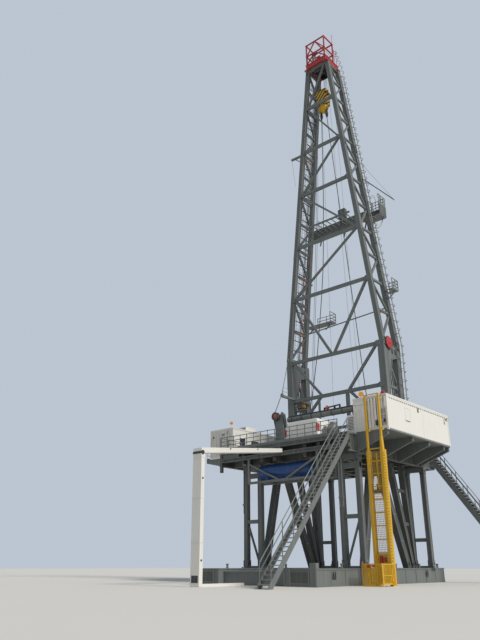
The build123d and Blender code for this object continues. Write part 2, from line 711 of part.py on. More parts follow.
def back_girt(z, height, leg):
    """Add one level beam across the mast's rear face."""
    low = z - height / 2
    high = z + height / 2
    polygon(facing_rear(MAST_REAR + BACK_DEPTH / 2),
            ((-mast_reach(low, leg), low), (mast_reach(low, leg), low), (mast_reach(high, leg), high),
             (-mast_reach(high, leg), high)), BACK_DEPTH)


def back_brace(foot, head, width):
    """Add one slanting brace on the mast's rear face, between two level beams."""
    half = width / 2 / math.sin(math.atan2(head[1] - foot[1], abs(head[0] - foot[0])))
    polygon(facing_rear(MAST_REAR + BACK_DEPTH / 2),
            ((foot[0] - half, foot[1]), (foot[0] + half, foot[1]), (head[0] + half, head[1]),
             (head[0] - half, head[1])), BACK_DEPTH * 0.8)


def mast_sides():
    """The mast's two side panels, each in a lower and an upper piece, and their shoes."""
    foot = FLOOR_TOP + SHOE
    levels = (MAST_BEND + BRACE,) + GIRT_LEVELS[1:] + (MAST_TOP - BRACE,)
    nodes = [z for pair in zip(levels, levels[1:]) for z in (pair[0], sum(pair) / 2)] + [levels[-1]]
    parts = (("lower", foot, MAST_BEND, MAST_LEG_LOW, (foot + BRACE, GIRT_LEVELS[0], MAST_BEND - BRACE)),
             ("upper", MAST_BEND, MAST_TOP, MAST_LEG, nodes))
    for side, word in ((1, "right"), (-1, "left")):
        for name, z0, z1, leg, levels in parts:
            with BuildPart() as panel:
                side_panel(side, z0, z1, leg, levels)
            save(panel.part, "mast_" + name + "_" + word)
    with BuildPart() as shoes:
        for side in (1, -1):
            for y in (MAST_REAR, MAST_FRONT - 420):
                box(sorted((side * (MAST_HALF - 380), side * (MAST_HALF + 80))), (y - 40, y + 460),
                    (FLOOR_TOP, FLOOR_TOP + SHOE))
    save(shoes.part, "mast_shoes")


def mast_back():
    """The level beams and slanting braces across the mast's rear face."""
    rise = GIRT / 2 + SEAT
    low = 6300
    with BuildPart() as back:
        back_girt(low, 110, MAST_LEG_LOW)
        back_girt(GIRT_LEVELS[0], GIRT, MAST_LEG_LOW)
        back_girt(MAST_BEND - GIRT / 2, GIRT, MAST_LEG_LOW)
        for side in (-1, 1):
            back_brace((side * (MAST_HALF - 420), low + 55 + SEAT), (side * 820, GIRT_LEVELS[0] - rise), 110)
            back_brace((side * 750, GIRT_LEVELS[0] + rise), (side * (MAST_HALF - 420), MAST_BEND - GIRT - SEAT), 110)
    save(back.part, "mast_back_lower")
    levels = GIRT_LEVELS[1:] + (MAST_TOP - GIRT / 2,)
    with BuildPart() as back:
        for z in levels:
            back_girt(z, GIRT, MAST_LEG)
        for side in (-1, 1):
            top = levels[0] - rise
            back_brace((side * 100, MAST_BEND + 10), (side * (mast_reach(top, MAST_LEG) - 90), top), 110)
        side = -1
        for foot, head in zip(levels, levels[1:]):
            z0 = foot + rise
            z1 = head - rise
            back_brace((side * (mast_reach(z0, MAST_LEG) - 90), z0), (-side * (mast_reach(z1, MAST_LEG) - 90), z1), BRACE)
            side = -side
    save(back.part, "mast_back_upper")


def mast_inset(leg, z):
    """How far a leg's inner face is from its outer face, level."""
    if z < MAST_BEND + 1 and leg == MAST_LEG_LOW:
        return leg
    run = MAST_HALF - MAST_TOP_HALF
    rise = MAST_TOP - MAST_BEND
    return leg * math.hypot(run, rise) / rise


def ladder_middle(z):
    """The y of the ladder's middle line, on the front leg's middle at a height."""
    return mast_edges(z)[1] - MAST_LEG / 2


def mast_ladder():
    """The ladder outside the mast's right side, on brackets from the front leg."""
    low = Vector(mast_half(MAST_BEND), 0, MAST_BEND)
    high = Vector(mast_half(MAST_TOP), 0, MAST_TOP)
    rise = (high - low).length
    up = (high - low).normalized()
    normal = Vector(0, 1, 0).cross(up)
    origin = low + normal * LADDER_OFF
    plane = Plane(origin=(WELL_X + origin.X, WELL_Y, origin.Z), x_dir=(0, 1, 0), z_dir=normal)
    half = LADDER_WIDTH / 2
    lean = (MAST_TOP_FRONT - MAST_FRONT) / rise
    count = int(rise / LADDER_STEP)
    foot = ladder_middle(MAST_BEND)

    def on(height, across):
        return (foot + lean * height + across, height)

    with BuildPart() as ladder:
        bars = [(on(0, across), on(rise - LADDER_STEP, across), 20) for across in (-half, half)]
        for i in range(1, count):
            bars.append((on(i * LADDER_STEP, -half), on(i * LADDER_STEP, half), 12))
        flat(plane, bars, 20)
        with BuildSketch(plane) as brackets:
            for i in range(1, count, 3):
                bar(on(i * LADDER_STEP, -10), on(i * LADDER_STEP, 10), 30)
        extrude(brackets.sketch, amount=-LADDER_OFF)
        bars = [((foot + across, FLOOR_TOP), (foot + across, MAST_BEND + 5), 20) for across in (-half, half)]
        for z in range(int(FLOOR_TOP) + 500, int(MAST_BEND), LADDER_STEP):
            bars.append(((foot - half, z), (foot + half, z), 12))
        flat(facing_side(MAST_HALF + LADDER_OFF), bars, 20)
    save(ladder.part, "mast_ladder")


def mast_fittings():
    """The boards, the landing and the boom on the mast."""
    z = BOARD_Z
    half = mast_half(z)
    y0 = mast_edges(z - 90)[1] + SEAT
    y1 = BOARD_FRONT
    inner = BOARD_RIGHT - BOARD_BOX
    with BuildPart() as board:
        box((-half, half), (y0, y0 + 90), (z - 90, z))
        box((BOARD_LEFT, half), (y0, y0 + 260), (z, z + 40))
        box((BOARD_LEFT, inner), (y0 + 240, y0 + 260), (z + 40, z + WIND_WALL))
        box((inner, BOARD_RIGHT), (y0, y1), (z, z + 40))
        hatch = ladder_middle(z) + LADDER_WIDTH / 2 + 40
        box((half + 60, half + 230), (y0 - 5, hatch), (z - 5, z + 45), Mode.SUBTRACT)
        box((inner, BOARD_RIGHT), (y1 - 20, y1), (z + 40, z + WIND_WALL))
        box((BOARD_RIGHT - 20, BOARD_RIGHT), (y0, y1 - 20), (z + 40, z + WIND_WALL))
        box((inner, inner + 20), (y0 + 240, y1 - 20), (z + 40, z + WIND_WALL))
        railing(facing_rear(y1 - RAIL / 2), inner, BOARD_RIGHT, 5, z + WIND_WALL)
        railing(facing_side(BOARD_RIGHT - RAIL / 2), y0, y1, 4, z + WIND_WALL)
    save(board.part, "racking_board")
    z0 = BOOM_Z[0]
    z1 = BOOM_Z[1]
    with BuildPart() as boom:
        polygon(facing_rear(mast_edges(z0)[1] - 60),
                ((mast_half(z0 - 35) + SEAT, z0 - 35), (mast_half(z0 + 35) + SEAT, z0 + 35),
                 (BOOM_X, z1 + 35), (BOOM_X, z1 - 35)), 70)
    save(boom.part, "mast_boom")
    with BuildPart() as landing:
        z = LANDING_Z
        half = mast_half(z)
        y = ladder_middle(z)
        box((half + SEAT, half + 450), (y - 200, y + 350), (z, z + 30))
        hatch = LADDER_WIDTH / 2 + 40
        box((half + 60, half + 230), (y - hatch, y + hatch), (z - 5, z + 35), Mode.SUBTRACT)
        railing(facing_side(half + 450 - RAIL / 2), y - 200, y + 350, 3, z + 30)
        railing(facing_rear(y + 350 - RAIL / 2), half + 10, half + 450, 3, z + 30)
    save(landing.part, "ladder_landing")
    with BuildPart() as stab:
        z = STABBING_Z
        half = mast_half(z)
        y0 = mast_edges(z)[1] + SEAT
        box((-half, STABBING_RIGHT), (y0, y0 + 500), (z, z + 30))
        railing(facing_rear(y0 + 488), -half + 400, STABBING_RIGHT, 3, z + 30)
        railing(facing_side(STABBING_RIGHT - 12), y0, y0 + 500, 2, z + 30)
    save(stab.part, "stabbing_board")


def crown():
    """The crown: its base beams, the open cage, the sheaves and their axle."""
    z0 = MAST_TOP
    z1 = MAST_TOP + CROWN_BEAM
    side = CROWN_HALF - CROWN_RIB / 2
    ends = (CROWN_REAR + CROWN_RIB / 2, CROWN_FRONT - CROWN_RIB / 2)
    with BuildPart() as deck:
        grid((z0, z1), (-side, -CROWN_BAY, CROWN_BAY, side), ends, (CROWN_REAR, CROWN_FRONT), CROWN_RIB)
    save(deck.part, "crown_base")
    tube = CROWN_TUBE
    thin = tube * 0.7
    middle = (z1 + CAGE_TOP) / 2 - 100
    top = CAGE_TOP - tube / 2
    posts = (-CAGE_HALF, CAGE_HALF)
    with BuildPart() as cage:
        bars = [((x, z1), (x, CAGE_TOP), tube) for x in posts]
        bars += [((-CAGE_HALF, z), (CAGE_HALF, z), tube) for z in (middle, top)]
        flat(facing_rear(CAGE_FRONT - tube / 2), bars, tube)
        bars += [((x, middle), (0, top), thin) for x in posts]
        bars += [((x, z1 + tube), (0, middle), thin) for x in posts]
        flat(facing_rear(CROWN_REAR + tube / 2), bars, tube)
        ends = (CROWN_REAR + tube + SEAT, CAGE_FRONT - tube - SEAT)
        for x in posts:
            box((x - tube / 2, x + tube / 2), ends, (middle - tube / 2, middle + tube / 2))
        for x in posts + (0,):
            box((x - tube / 2, x + tube / 2), ends, (CAGE_TOP - tube, CAGE_TOP))
        spike = CAGE_TOP + SPIKE_HEIGHT / 2
        rod(level(spike), (CAGE_HALF, CAGE_FRONT - tube / 2), 12, SPIKE_HEIGHT)
    save(cage.part, "crown_cage")
    with BuildPart() as sheaves:
        for x in SHEAVES_X:
            disc(facing_side(x), (HOIST_Y, CROWN_AXLE), SHEAVE_RADIUS, SHEAVE_WIDTH)
        disc(facing_side(0), (HOIST_Y, CROWN_AXLE), 60, 2 * CROWN_BAY - CROWN_RIB - 2 * SEAT, 12)
    save(sheaves.part, "crown_sheaves")


def block():
    """The travelling block with its saddle, its hook and its lines."""
    axle = BLOCK_AXLE
    guard = SHEAVE_RADIUS + BLOCK_GUARD
    low = axle - BLOCK_TAPER
    with BuildPart() as body:
        with BuildSketch(facing_side(0)) as plate:
            with BuildLine():
                ThreePointArc((HOIST_Y - guard, axle), (HOIST_Y, axle + guard), (HOIST_Y + guard, axle))
                Polyline((HOIST_Y + guard, axle), (HOIST_Y + guard * 0.6, low), (HOIST_Y - guard * 0.6, low),
                         (HOIST_Y - guard, axle))
            make_face()
        extrude(plate.sketch, amount=BLOCK_WIDTH / 2, both=True)
    save(body.part, "travelling_block")
    with BuildPart() as hook:
        foot = low - SADDLE_DROP
        half = SADDLE_WIDTH / 2
        wide = half + SHOULDER
        points = ((-half, low), (half, low), (wide, low - 160), (half * 0.7, foot), (-half * 0.7, foot),
                  (-wide, low - 160))
        polygon(facing_rear(HOIST_Y), points, SADDLE_WIDTH)
        for x in (-LINK_X, LINK_X):
            half = LINK_WIDTH / 2
            points = ((x - half, low - 200), (x + half, low - 200), (x + half * 1.4, foot - LINK_DROP / 2),
                      (x, foot - LINK_DROP), (x - half * 1.4, foot - LINK_DROP / 2))
            polygon(facing_rear(HOIST_Y), points, LINK_WIDTH)
    save(hook.part, "hook")
    with BuildPart() as lines:
        across = SHEAVE_RADIUS + SEAT + LINE / 2
        low = axle + math.sqrt(guard ** 2 - (across - LINE / 2) ** 2) + SEAT
        for x in SHEAVES_X:
            for y in (HOIST_Y - across, HOIST_Y + across):
                box((x - LINE / 2, x + LINE / 2), (y - LINE / 2, y + LINE / 2), (low, CROWN_AXLE))
    save(lines.part, "drill_lines")


def trough():
    """The folding cable trough at the rear: a foot on the ground, a column and an arm up to the floor."""
    x = (TROUGH_X, TROUGH_X + TROUGH_WIDTH)
    y0 = TROUGH_Y + TROUGH_DEPTH
    with BuildPart() as column:
        box(x, (TROUGH_Y, y0), (0, TROUGH_TOP))
        box((x[1] - 180, x[1]), (y0, BASE_REAR - 60), (0, 90))
    save(column.part, "cable_trough_column")
    rear = FLOOR_REAR - SEAT
    with BuildPart() as arm:
        points = ((TROUGH_Y, TROUGH_TOP), (y0, TROUGH_TOP), (rear, TROUGH_END - 75), (rear, TROUGH_END + 75),
                  (TROUGH_Y, TROUGH_TOP + 160))
        polygon(facing_side(TROUGH_X + TROUGH_WIDTH / 2), points, TROUGH_WIDTH)
    save(arm.part, "cable_trough_arm")


base_boxes()
leg_frames()
struts()
floor()
cabins()
floor_machines()
railings()
stairs()
lift_tower()
lift_car()
lift_fence()
mast_sides()
mast_back()
mast_ladder()
mast_fittings()
crown()
block()
trough()
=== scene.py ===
"""Looks for the land drilling rig: materials, fine detail, soft light and the camera."""
import json
import math

import bpy
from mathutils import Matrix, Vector


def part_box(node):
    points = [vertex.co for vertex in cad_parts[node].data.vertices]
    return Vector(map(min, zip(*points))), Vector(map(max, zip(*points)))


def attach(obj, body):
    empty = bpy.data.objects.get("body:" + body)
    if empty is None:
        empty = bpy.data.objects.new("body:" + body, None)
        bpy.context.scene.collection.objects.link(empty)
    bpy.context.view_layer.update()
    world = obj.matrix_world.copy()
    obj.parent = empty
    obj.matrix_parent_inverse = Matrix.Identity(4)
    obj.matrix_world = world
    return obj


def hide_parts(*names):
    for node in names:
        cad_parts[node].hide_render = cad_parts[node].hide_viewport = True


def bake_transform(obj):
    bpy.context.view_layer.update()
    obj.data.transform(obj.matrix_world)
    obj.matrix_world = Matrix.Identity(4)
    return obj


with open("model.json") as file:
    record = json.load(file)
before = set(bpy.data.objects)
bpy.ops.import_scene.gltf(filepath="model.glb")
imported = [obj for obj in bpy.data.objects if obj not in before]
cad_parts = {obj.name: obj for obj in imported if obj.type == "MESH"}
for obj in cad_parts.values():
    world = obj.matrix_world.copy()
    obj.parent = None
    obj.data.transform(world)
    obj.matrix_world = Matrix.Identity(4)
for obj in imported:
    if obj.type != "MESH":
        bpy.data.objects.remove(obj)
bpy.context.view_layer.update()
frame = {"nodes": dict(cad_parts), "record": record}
NODES = frame["nodes"]

# The rig's own axes start on the ground under the middle of the mast's foot, and all points below are in them
MID_X = (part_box("base_box_right")[1].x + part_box("base_box_left")[0].x) / 2
REAR_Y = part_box("base_box_right")[0].y
ORIGIN = Vector((MID_X, REAR_Y + 6.6, 0))

# Camera, by the photograph's vanishing points
CAMERA_ASIDE = 15.25
CAMERA_BACK = 17.75
CAMERA_HEIGHT = 0.645
CAMERA_YAW = 41.5
CAMERA_PITCH = 21.1
CAMERA_LENS = 35.78

# Main sizes of the solids, in metres
FLOOR_TOP = 5.25
FLOOR_LOW = 4.55
FLOOR_REAR = -4.35
FLOOR_FRONT = 2.65
FLOOR_LEFT = -3.58
FLOOR_RIGHT = 2.8
MAST_HALF = 2.63
MAST_TOP_HALF = 0.72
MAST_BEND = 9.8
MAST_TOP = 26.5
MAST_REAR = -0.7
MAST_FRONT = 0.7
MAST_TOP_FRONT = 0.48
GIRTS = (12.95, 15.75, 18.7, 21.25, 23.95)
HOIST_Y = -0.23
SHEAVE_Z = 26.56
STAY_Z = 20.35

DUST = (0.30, 0.26, 0.20, 1)
STRIPE_BLACK = (0.012, 0.012, 0.013, 1)
SHARP = math.radians(32)
SIDES = (1, -1)
ROPE_X = (-0.09, -0.03, 0.03, 0.09)
ALONG_X = (1, 0, 0)
ALONG_Y = (0, 1, 0)
UP = (0, 0, 1)
DOWN = (0, 0, -1)
REARWARDS = (0, -1, 0)


def taper(foot, top, z):
    """A size of the mast at a height: it narrows above the bend."""
    return foot - (foot - top) * max(0, z - MAST_BEND) / (MAST_TOP - MAST_BEND)


def mast_half(z):
    """Half the mast's width at a height."""
    return taper(MAST_HALF, MAST_TOP_HALF, z)


def mast_front(z):
    """The mast's front edge at a height."""
    return taper(MAST_FRONT, MAST_TOP_FRONT, z)


def leg_face(side, z, inset):
    """The x of a mast leg's face at a height, set in from its outer face."""
    return side * (mast_half(z) - inset)


def leg_width(z):
    """A mast leg's side, which is less above the bend."""
    return 0.3 if z < MAST_BEND else 0.2


def paint(name, color, rough=0.5, vary=0.12, dirt=0.35, metal=0.0, scale=1.0, stripes=None):
    """A painted surface with uneven colour, run-down streaks, dust and fine bump."""
    mat = bpy.data.materials.new(name)
    mat.use_nodes = True
    tree = mat.node_tree
    shader = tree.nodes["Principled BSDF"]
    shader.inputs["Metallic"].default_value = metal

    def node(kind, source=None, out="Object", into="Vector", **values):
        """Add a node that another one feeds, and set its other inputs."""
        new = tree.nodes.new("ShaderNode" + kind)
        for key, value in values.items():
            new.inputs[key.replace("_", " ")].default_value = value
        if source:
            tree.links.new(source.outputs[out], new.inputs[into])
        return new

    def mix(source, out, under, over):
        """Mix a colour over another colour or over a node's."""
        new = tree.nodes.new("ShaderNodeMix")
        new.data_type = "RGBA"
        tree.links.new(source.outputs[out], new.inputs["Factor"])
        if isinstance(under, list):
            new.inputs[6].default_value = under
        else:
            tree.links.new(under.outputs[2], new.inputs[6])
        new.inputs[7].default_value = over
        return new

    place = node("TexCoord")
    patches = node("TexNoise", place, Scale=1.3 * scale, Detail=6.0)
    tone = mix(patches, "Fac", [c * (1 - vary) for c in color] + [1], [min(1, c * (1 + vary)) for c in color] + [1])
    if stripes:
        turn = node("Mapping", place, Rotation=stripes[1])
        wave = node("TexWave", turn, "Vector", Scale=stripes[0])
        edge = node("MapRange", wave, "Fac", "Value", From_Min=0.58, From_Max=0.64)
        tone = mix(edge, "Result", tone, STRIPE_BLACK)
    stretch = node("Mapping", place, Scale=(9 * scale, 9 * scale, 0.7 * scale))
    streaks = node("TexNoise", stretch, "Vector", Scale=1.0, Detail=8.0)
    mask = node("MapRange", streaks, "Fac", "Value", From_Min=0.5, From_Max=0.78, To_Max=dirt)
    soiled = mix(mask, "Result", tone, DUST)
    gloss = node("MapRange", streaks, "Fac", "Value", To_Min=max(0.05, rough - 0.1), To_Max=min(1.0, rough + 0.2))
    grain = node("TexNoise", place, Scale=60 * scale, Detail=3.0)
    bump = node("Bump", grain, "Fac", "Height", Strength=0.12, Distance=0.004)
    tree.links.new(soiled.outputs[2], shader.inputs["Base Color"])
    tree.links.new(gloss.outputs["Result"], shader.inputs["Roughness"])
    tree.links.new(bump.outputs["Normal"], shader.inputs["Normal"])
    return mat


YELLOW = (0.62, 0.36, 0.012)
MATS = {name: paint(name, color, rough, **more) for name, color, rough, more in (
    ("rig_steel", (0.140, 0.155, 0.150), 0.5, {}),
    ("white_paint", (0.72, 0.70, 0.65), 0.45, {"vary": 0.04, "dirt": 0.1}),
    ("yellow_paint", YELLOW, 0.4, {"dirt": 0.2}),
    # The tank's own dark blue, set darker still as painted shade on the tank under the floor
    ("blue_paint", (0.012, 0.06, 0.21), 0.35, {"dirt": 0.15}),
    ("red_paint", (0.38, 0.03, 0.032), 0.5, {"dirt": 0.25}),
    ("dark_steel", (0.035, 0.04, 0.042), 0.45, {"dirt": 0.3}),
    ("wire_rope", (0.12, 0.12, 0.12), 0.5, {"metal": 0.7, "scale": 4}),
    ("window_glass", (0.03, 0.04, 0.05), 0.1, {"dirt": 0.1}),
    ("galvanised", (0.27, 0.28, 0.27), 0.45, {"vary": 0.2, "dirt": 0.3, "metal": 0.3, "scale": 2}),
    ("striped", YELLOW, 0.4, {"dirt": 0.2, "stripes": (2.1, (0.0, 2.39, 0.574))}),
    # A darker copy of the rig steel: painted shade, for the parts under the floor, the base boxes' recessed panels and
    # the racking board's walls
    ("painted_shade_steel", (0.075, 0.083, 0.08), 0.55, {}),
    # A lighter copy of the white paint: painted light on the drawworks cover
    ("white_with_painted_light", (0.86, 0.85, 0.81), 0.4, {"vary": 0.04, "dirt": 0.12}),
    ("orange", (0.60, 0.25, 0.02), 0.4, {"dirt": 0.1}),
)}

# The solids whose finish isn't their slot's. The treads, block and motor get their own finishes; the darker steel on
# the slant struts and floor girders is painted shade under the floor, the rig steel on the cabin's floor is painted
# shade beneath the cabin, and the lighter white on the drawworks cover is painted light.
FINISH = {"rear_stair_treads": "galvanised", "side_stair_treads": "galvanised", "travelling_block": "striped",
          # The cabin's floor takes rig steel as painted shade beneath the cabin
          "drawworks_motor": "galvanised", "drawworks_cover": "white_with_painted_light", "driller_cabin_floor": "rig_steel",
          "slant_struts_left": "painted_shade_steel", "slant_struts_right": "painted_shade_steel", "floor_girders": "painted_shade_steel"}

for row in frame["record"]["subparts"]:
    mats = NODES[row["node"]].data.materials
    mats.clear()
    mats.append(MATS[FINISH.get(row["node"], row["material_slot"])])


def arc(count, step, start=0):
    """The cosine and sine of equal steps in degrees."""
    turns = [math.radians(start + k * step) for k in range(count)]
    return [(math.cos(t), math.sin(t)) for t in turns]


def circle(centre, side, over, radius, sides):
    """Points round a centre, in the plane of two directions."""
    return [centre + side * (radius * c) + over * (radius * s) for c, s in arc(sides, 360 / sides)]


class Shape:
    """Collects boxes, bars, tubes and turned forms in one mesh, which becomes one piece."""

    every = []

    def __init__(self, name, material="rig_steel", body="root", stands_for=()):
        self.name = name
        self.material = material
        self.body = body
        self.stands_for = stands_for
        self.verts = []
        self.faces = []
        Shape.every.append(self)

    def add(self, verts, faces):
        """Add points, and faces that count them from the first."""
        start = len(self.verts)
        self.verts += [Vector(v) for v in verts]
        self.faces += [tuple(start + i for i in f) for f in faces]

    def prism(self, front, back):
        """A plate between two equal outlines."""
        n = len(front)
        faces = [tuple(range(n)), tuple(range(2 * n - 1, n - 1, -1))]
        self.add(front + back, faces + [(i, n + i, n + (i + 1) % n, (i + 1) % n) for i in range(n)])

    def skin(self, rings):
        """A closed skin over equal rings of points."""
        n = len(rings[0])
        faces = [(i * n + k, i * n + (k + 1) % n, (i + 1) * n + (k + 1) % n, (i + 1) * n + k)
                 for i in range(len(rings) - 1) for k in range(n)]
        faces += [tuple(range(n))[::-1], tuple(range(len(rings) * n - n, len(rings) * n))]
        self.add([v for ring in rings for v in ring], faces)

    def box(self, *corners):
        """A box between two opposite corners, given as two points or six numbers."""
        a, b = corners if len(corners) == 2 else (corners[:3], corners[3:])
        x, y, z = (sorted(pair) for pair in zip(a, b))
        verts = [(i, j, k) for k in z for j in y for i in x]
        self.add(verts, [(0, 2, 3, 1), (4, 5, 7, 6), (0, 1, 5, 4), (2, 6, 7, 3), (0, 4, 6, 2), (1, 3, 7, 5)])

    def post(self, x, y, half_x, half_y, z0, z1):
        """A box that stands about a point."""
        self.box(x - half_x, y - half_y, z0, x + half_x, y + half_y, z1)

    def row(self, count, step, *corners):
        """Equal boxes, each one step on from the last."""
        shift = tuple(step) * 2
        for i in range(count):
            self.box(*(c + i * s for c, s in zip(corners, shift)))

    def wall(self, axis, near, far, *bars):
        """Flat bars on a wall across an axis, each from its low to its high corner."""
        for a, z0, b, z1 in bars:
            self.box(*((near, a, z0, far, b, z1) if axis == "x" else (a, near, z0, b, far, z1)))

    def bar(self, a, b, wide, deep, up=UP):
        """A straight bar of rectangular section; deep is measured along up."""
        a, b = Vector(a), Vector(b)
        along = (b - a).normalized()
        side = along.cross(Vector(up))
        if side.length < 1e-4:
            side = along.cross(Vector(ALONG_Y))
        side = side.normalized() * (wide / 2)
        over = side.cross(along).normalized() * (deep / 2)
        ring = (side + over, over - side, -side - over, side - over)
        self.add([a + r for r in ring] + [b + r for r in ring],
                 [(0, 1, 2, 3), (7, 6, 5, 4), (0, 4, 5, 1), (1, 5, 6, 2), (2, 6, 7, 3), (3, 7, 4, 0)])

    def tube(self, points, radius, sides=8):
        """A round tube through points."""
        points = [Vector(p) for p in points]
        rings = []
        side = None
        for i, p in enumerate(points):
            along = (points[min(i + 1, len(points) - 1)] - points[max(i - 1, 0)]).normalized()
            if side is None:
                side = along.cross(Vector(UP))
                if side.length < 1e-4:
                    side = Vector(ALONG_X)
            side = (side - along * side.dot(along)).normalized()
            rings.append(circle(p, side, along.cross(side), radius, sides))
        self.skin(rings)

    def turned(self, centre, axis, profile, sides=24):
        """A turned form: profile is (distance along the axis, radius) from end to end."""
        centre = Vector(centre)
        axis = Vector(axis).normalized()
        side = axis.orthogonal().normalized()
        over = axis.cross(side)
        self.skin([circle(centre + axis * d, side, over, r, sides) for d, r in profile])

    def bolt(self, centre, axis, radius, height):
        """A small hexagon head."""
        self.turned(centre, axis, ((0, radius), (height, radius)), 6)

    def corrugated(self, corner, along, high, out, pitch, depth):
        """A sheet of upright trapezoid ribs: along spans it, out points outwards."""
        corner, along, out = Vector(corner), Vector(along), Vector(out)
        count = max(1, round(along.length / pitch))
        step = along / count
        line = []
        for i in range(count):
            start = corner + step * i
            line += [start, start + step * 0.3, start + step * 0.42 + out * depth, start + step * 0.86 + out * depth]
        line.append(corner + along)
        n = len(line)
        up = Vector((0, 0, high))
        self.add(line + [p + up for p in line], [(i, i + 1, n + i + 1, n + i) for i in range(n - 1)])

    def strip(self, a, b, wide, proud, out):
        """A flat strip on a face, from a to b, that stands proud along out."""
        out = Vector(out).normalized()
        shift = out * (proud / 2 - 0.001)
        self.bar(Vector(a) + shift, Vector(b) + shift, wide, proud + 0.002, up=out)

    def grating(self, low, high, pitch=0.06, thick=0.004, deep=0.012):
        """Bars of an open walkway grating that lie on a plate, with bearing bars along x."""
        top = low[2] + deep
        y = low[1]
        while y <= high[1]:
            self.box(low[0], y, low[2], high[0], y + thick, top)
            y += pitch
        x = low[0]
        while x <= high[0]:
            self.box(x, low[1], low[2], x + thick, high[1], top)
            x += pitch * 5

    def made(self):
        """Turn the collected form into a piece that rides on its body."""
        mesh = bpy.data.meshes.new(self.name)
        mesh.from_pydata([ORIGIN + v for v in self.verts], [], self.faces)
        mesh.materials.append(MATS[self.material])
        mesh.shade_smooth()
        mesh.set_sharp_from_angle(angle=SHARP)
        piece = bpy.data.objects.new(self.name, mesh)
        bpy.context.scene.collection.objects.link(piece)
        if self.body:
            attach(piece, self.body)
        if self.stands_for:
            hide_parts(*self.stands_for)
        return piece


def mast_legs():
    """Flanges, splice plates and pins that make the mast legs rolled beams."""
    shape = Shape("mast_leg_flanges")
    pins = Shape("mast_leg_pins", "dark_steel")
    for side in SIDES:
        for z0, z1, leg in ((FLOOR_TOP + 0.14, MAST_BEND - 0.02, 0.3), (MAST_BEND + 0.02, MAST_TOP - 0.02, 0.2)):
            y0, y1 = mast_front(z0), mast_front(z1)
            for inset in (0.018, leg - 0.018):
                for face, a, b, out in ((inset, MAST_REAR, MAST_REAR, REARWARDS), (inset, y0, y1, ALONG_Y),
                                        (0, MAST_REAR + inset, MAST_REAR + inset, (side, 0, 0)),
                                        (0, y0 - inset, y1 - inset, (side, 0, 0))):
                    shape.strip((leg_face(side, z0, face), a, z0), (leg_face(side, z1, face), b, z1), 0.036, 0.012, out)
        for z in (9.8, 15.35, 20.9):
            leg = 0.25 if z < 10 else 0.2
            low, high = z - 0.16, z + 0.16
            for middle in (MAST_REAR + leg / 2, mast_front(z) - leg / 2):
                for half, end in ((-1, low), (1, high)):
                    y = middle + half * leg * 0.3
                    shape.bar((leg_face(side, low, -0.014), y, low), (leg_face(side, high, -0.014), y, high),
                              0.05, 0.04, (side, 0, 0))
                    pins.turned((leg_face(side, end, 0), middle, end), (side, 0, 0.1),
                                ((0, 0.045), (0.03, 0.045), (0.05, 0.03)), 12)


def mast_nodes():
    """Gusset plates where the mast's girts and braces meet its legs."""
    shape = Shape("mast_gussets")
    bolts = Shape("mast_bolts", "dark_steel")
    for z in (6.3, 7.85, 9.725, *GIRTS, 26.425):
        leg = leg_width(z)
        outline = ((-0.12, leg / 2, -0.12), (0.12, leg / 2, 0.12), (0.12, leg + 0.05, 0.12), (0.12, leg + 0.12, 0.06),
                   (-0.12, leg + 0.12, -0.06), (-0.12, leg + 0.05, -0.12))
        for side in SIDES:
            for y, out in ((MAST_REAR, -1), (MAST_REAR + 0.12, 1)):
                near, far = ([(leg_face(side, z + level, inset), y + out * lift, z + rise)
                              for level, inset, rise in outline] for lift in (-0.002, 0.016))
                shape.prism(near, far)
                for inset in (leg + 0.05, leg + 0.12):
                    for rise in (-0.035, 0.035):
                        p = (leg_face(side, z + rise, inset), y + out * 0.015, z + rise)
                        bolts.bolt(p, (0, out, 0), 0.013, 0.012)
    steps = (9.89, *GIRTS, 26.41)
    nodes = [z for pair in zip(steps, steps[1:]) for z in (pair[0], sum(pair) / 2)]
    for side in SIDES:
        for z in (5.46, 7.85, 9.71, *nodes, 26.41):
            leg = leg_width(z)
            low, high = z - 0.13, z + 0.13
            for y in (MAST_REAR + leg, mast_front(z) - leg):
                shape.bar((leg_face(side, low, leg / 2), y, low), (leg_face(side, high, leg / 2), y, high),
                          0.12, 0.1, (side, 0, 0))


def leg_webs():
    """Web plates that join the front and rear legs of each side below the mast's bend, with dark patches in their holes
    as painted shade, and a red reel.
    """
    shape = Shape("leg_webs")
    dark = Shape("leg_web_gap_shade_and_reel_rim", "dark_steel")
    red = Shape("hose_reel", "red_paint")
    outline = ((-0.68, 9.72), (0.68, 9.72), (0.55, 9.25), (-0.05, 9.05), (-0.3, 8.3), (-0.4, 7.95), (-0.68, 7.9))
    for side in SIDES:
        for inset, out in ((0.02, side), (0.27, -side)):
            x = side * (MAST_HALF - inset)
            shape.prism([(x, y, z) for y, z in outline], [(x - side * 0.012, y, z) for y, z in outline])
            # Dark patches through the plate where its holes are: painted shade seen in them
            for y in (0.05, 0.32):
                dark.post(x, y, 0.013, 0.06, 9.34, 9.56)
            dark.post(x, -0.37, 0.013, 0.05, 8.1, 8.28)
            shape.strip((x, -0.05, 9.05), (x, -0.4, 7.95), 0.05, 0.03, (out, 0, 0))
            shape.strip((x, -0.05, 9.06), (x, 0.55, 9.26), 0.05, 0.03, (out, 0, 0))
        x = side * (MAST_HALF - 0.15)
        for y in (0.35, 0.19):
            shape.bar((x, y, 5.7), (x, y - 0.28, 9.1), 0.05, 0.05, ALONG_X)
    x = MAST_HALF + 0.012
    dark.turned((x - 0.02, -0.31, 9.76), ALONG_X, ((0, 0.22), (0.04, 0.3), (0.05, 0.3), (0.06, 0.2)), 32)
    red.turned((x + 0.04, -0.31, 9.76), ALONG_X,
               ((0, 0.26), (0.03, 0.27), (0.045, 0.22), (0.045, 0.1), (0.07, 0.08)), 32)


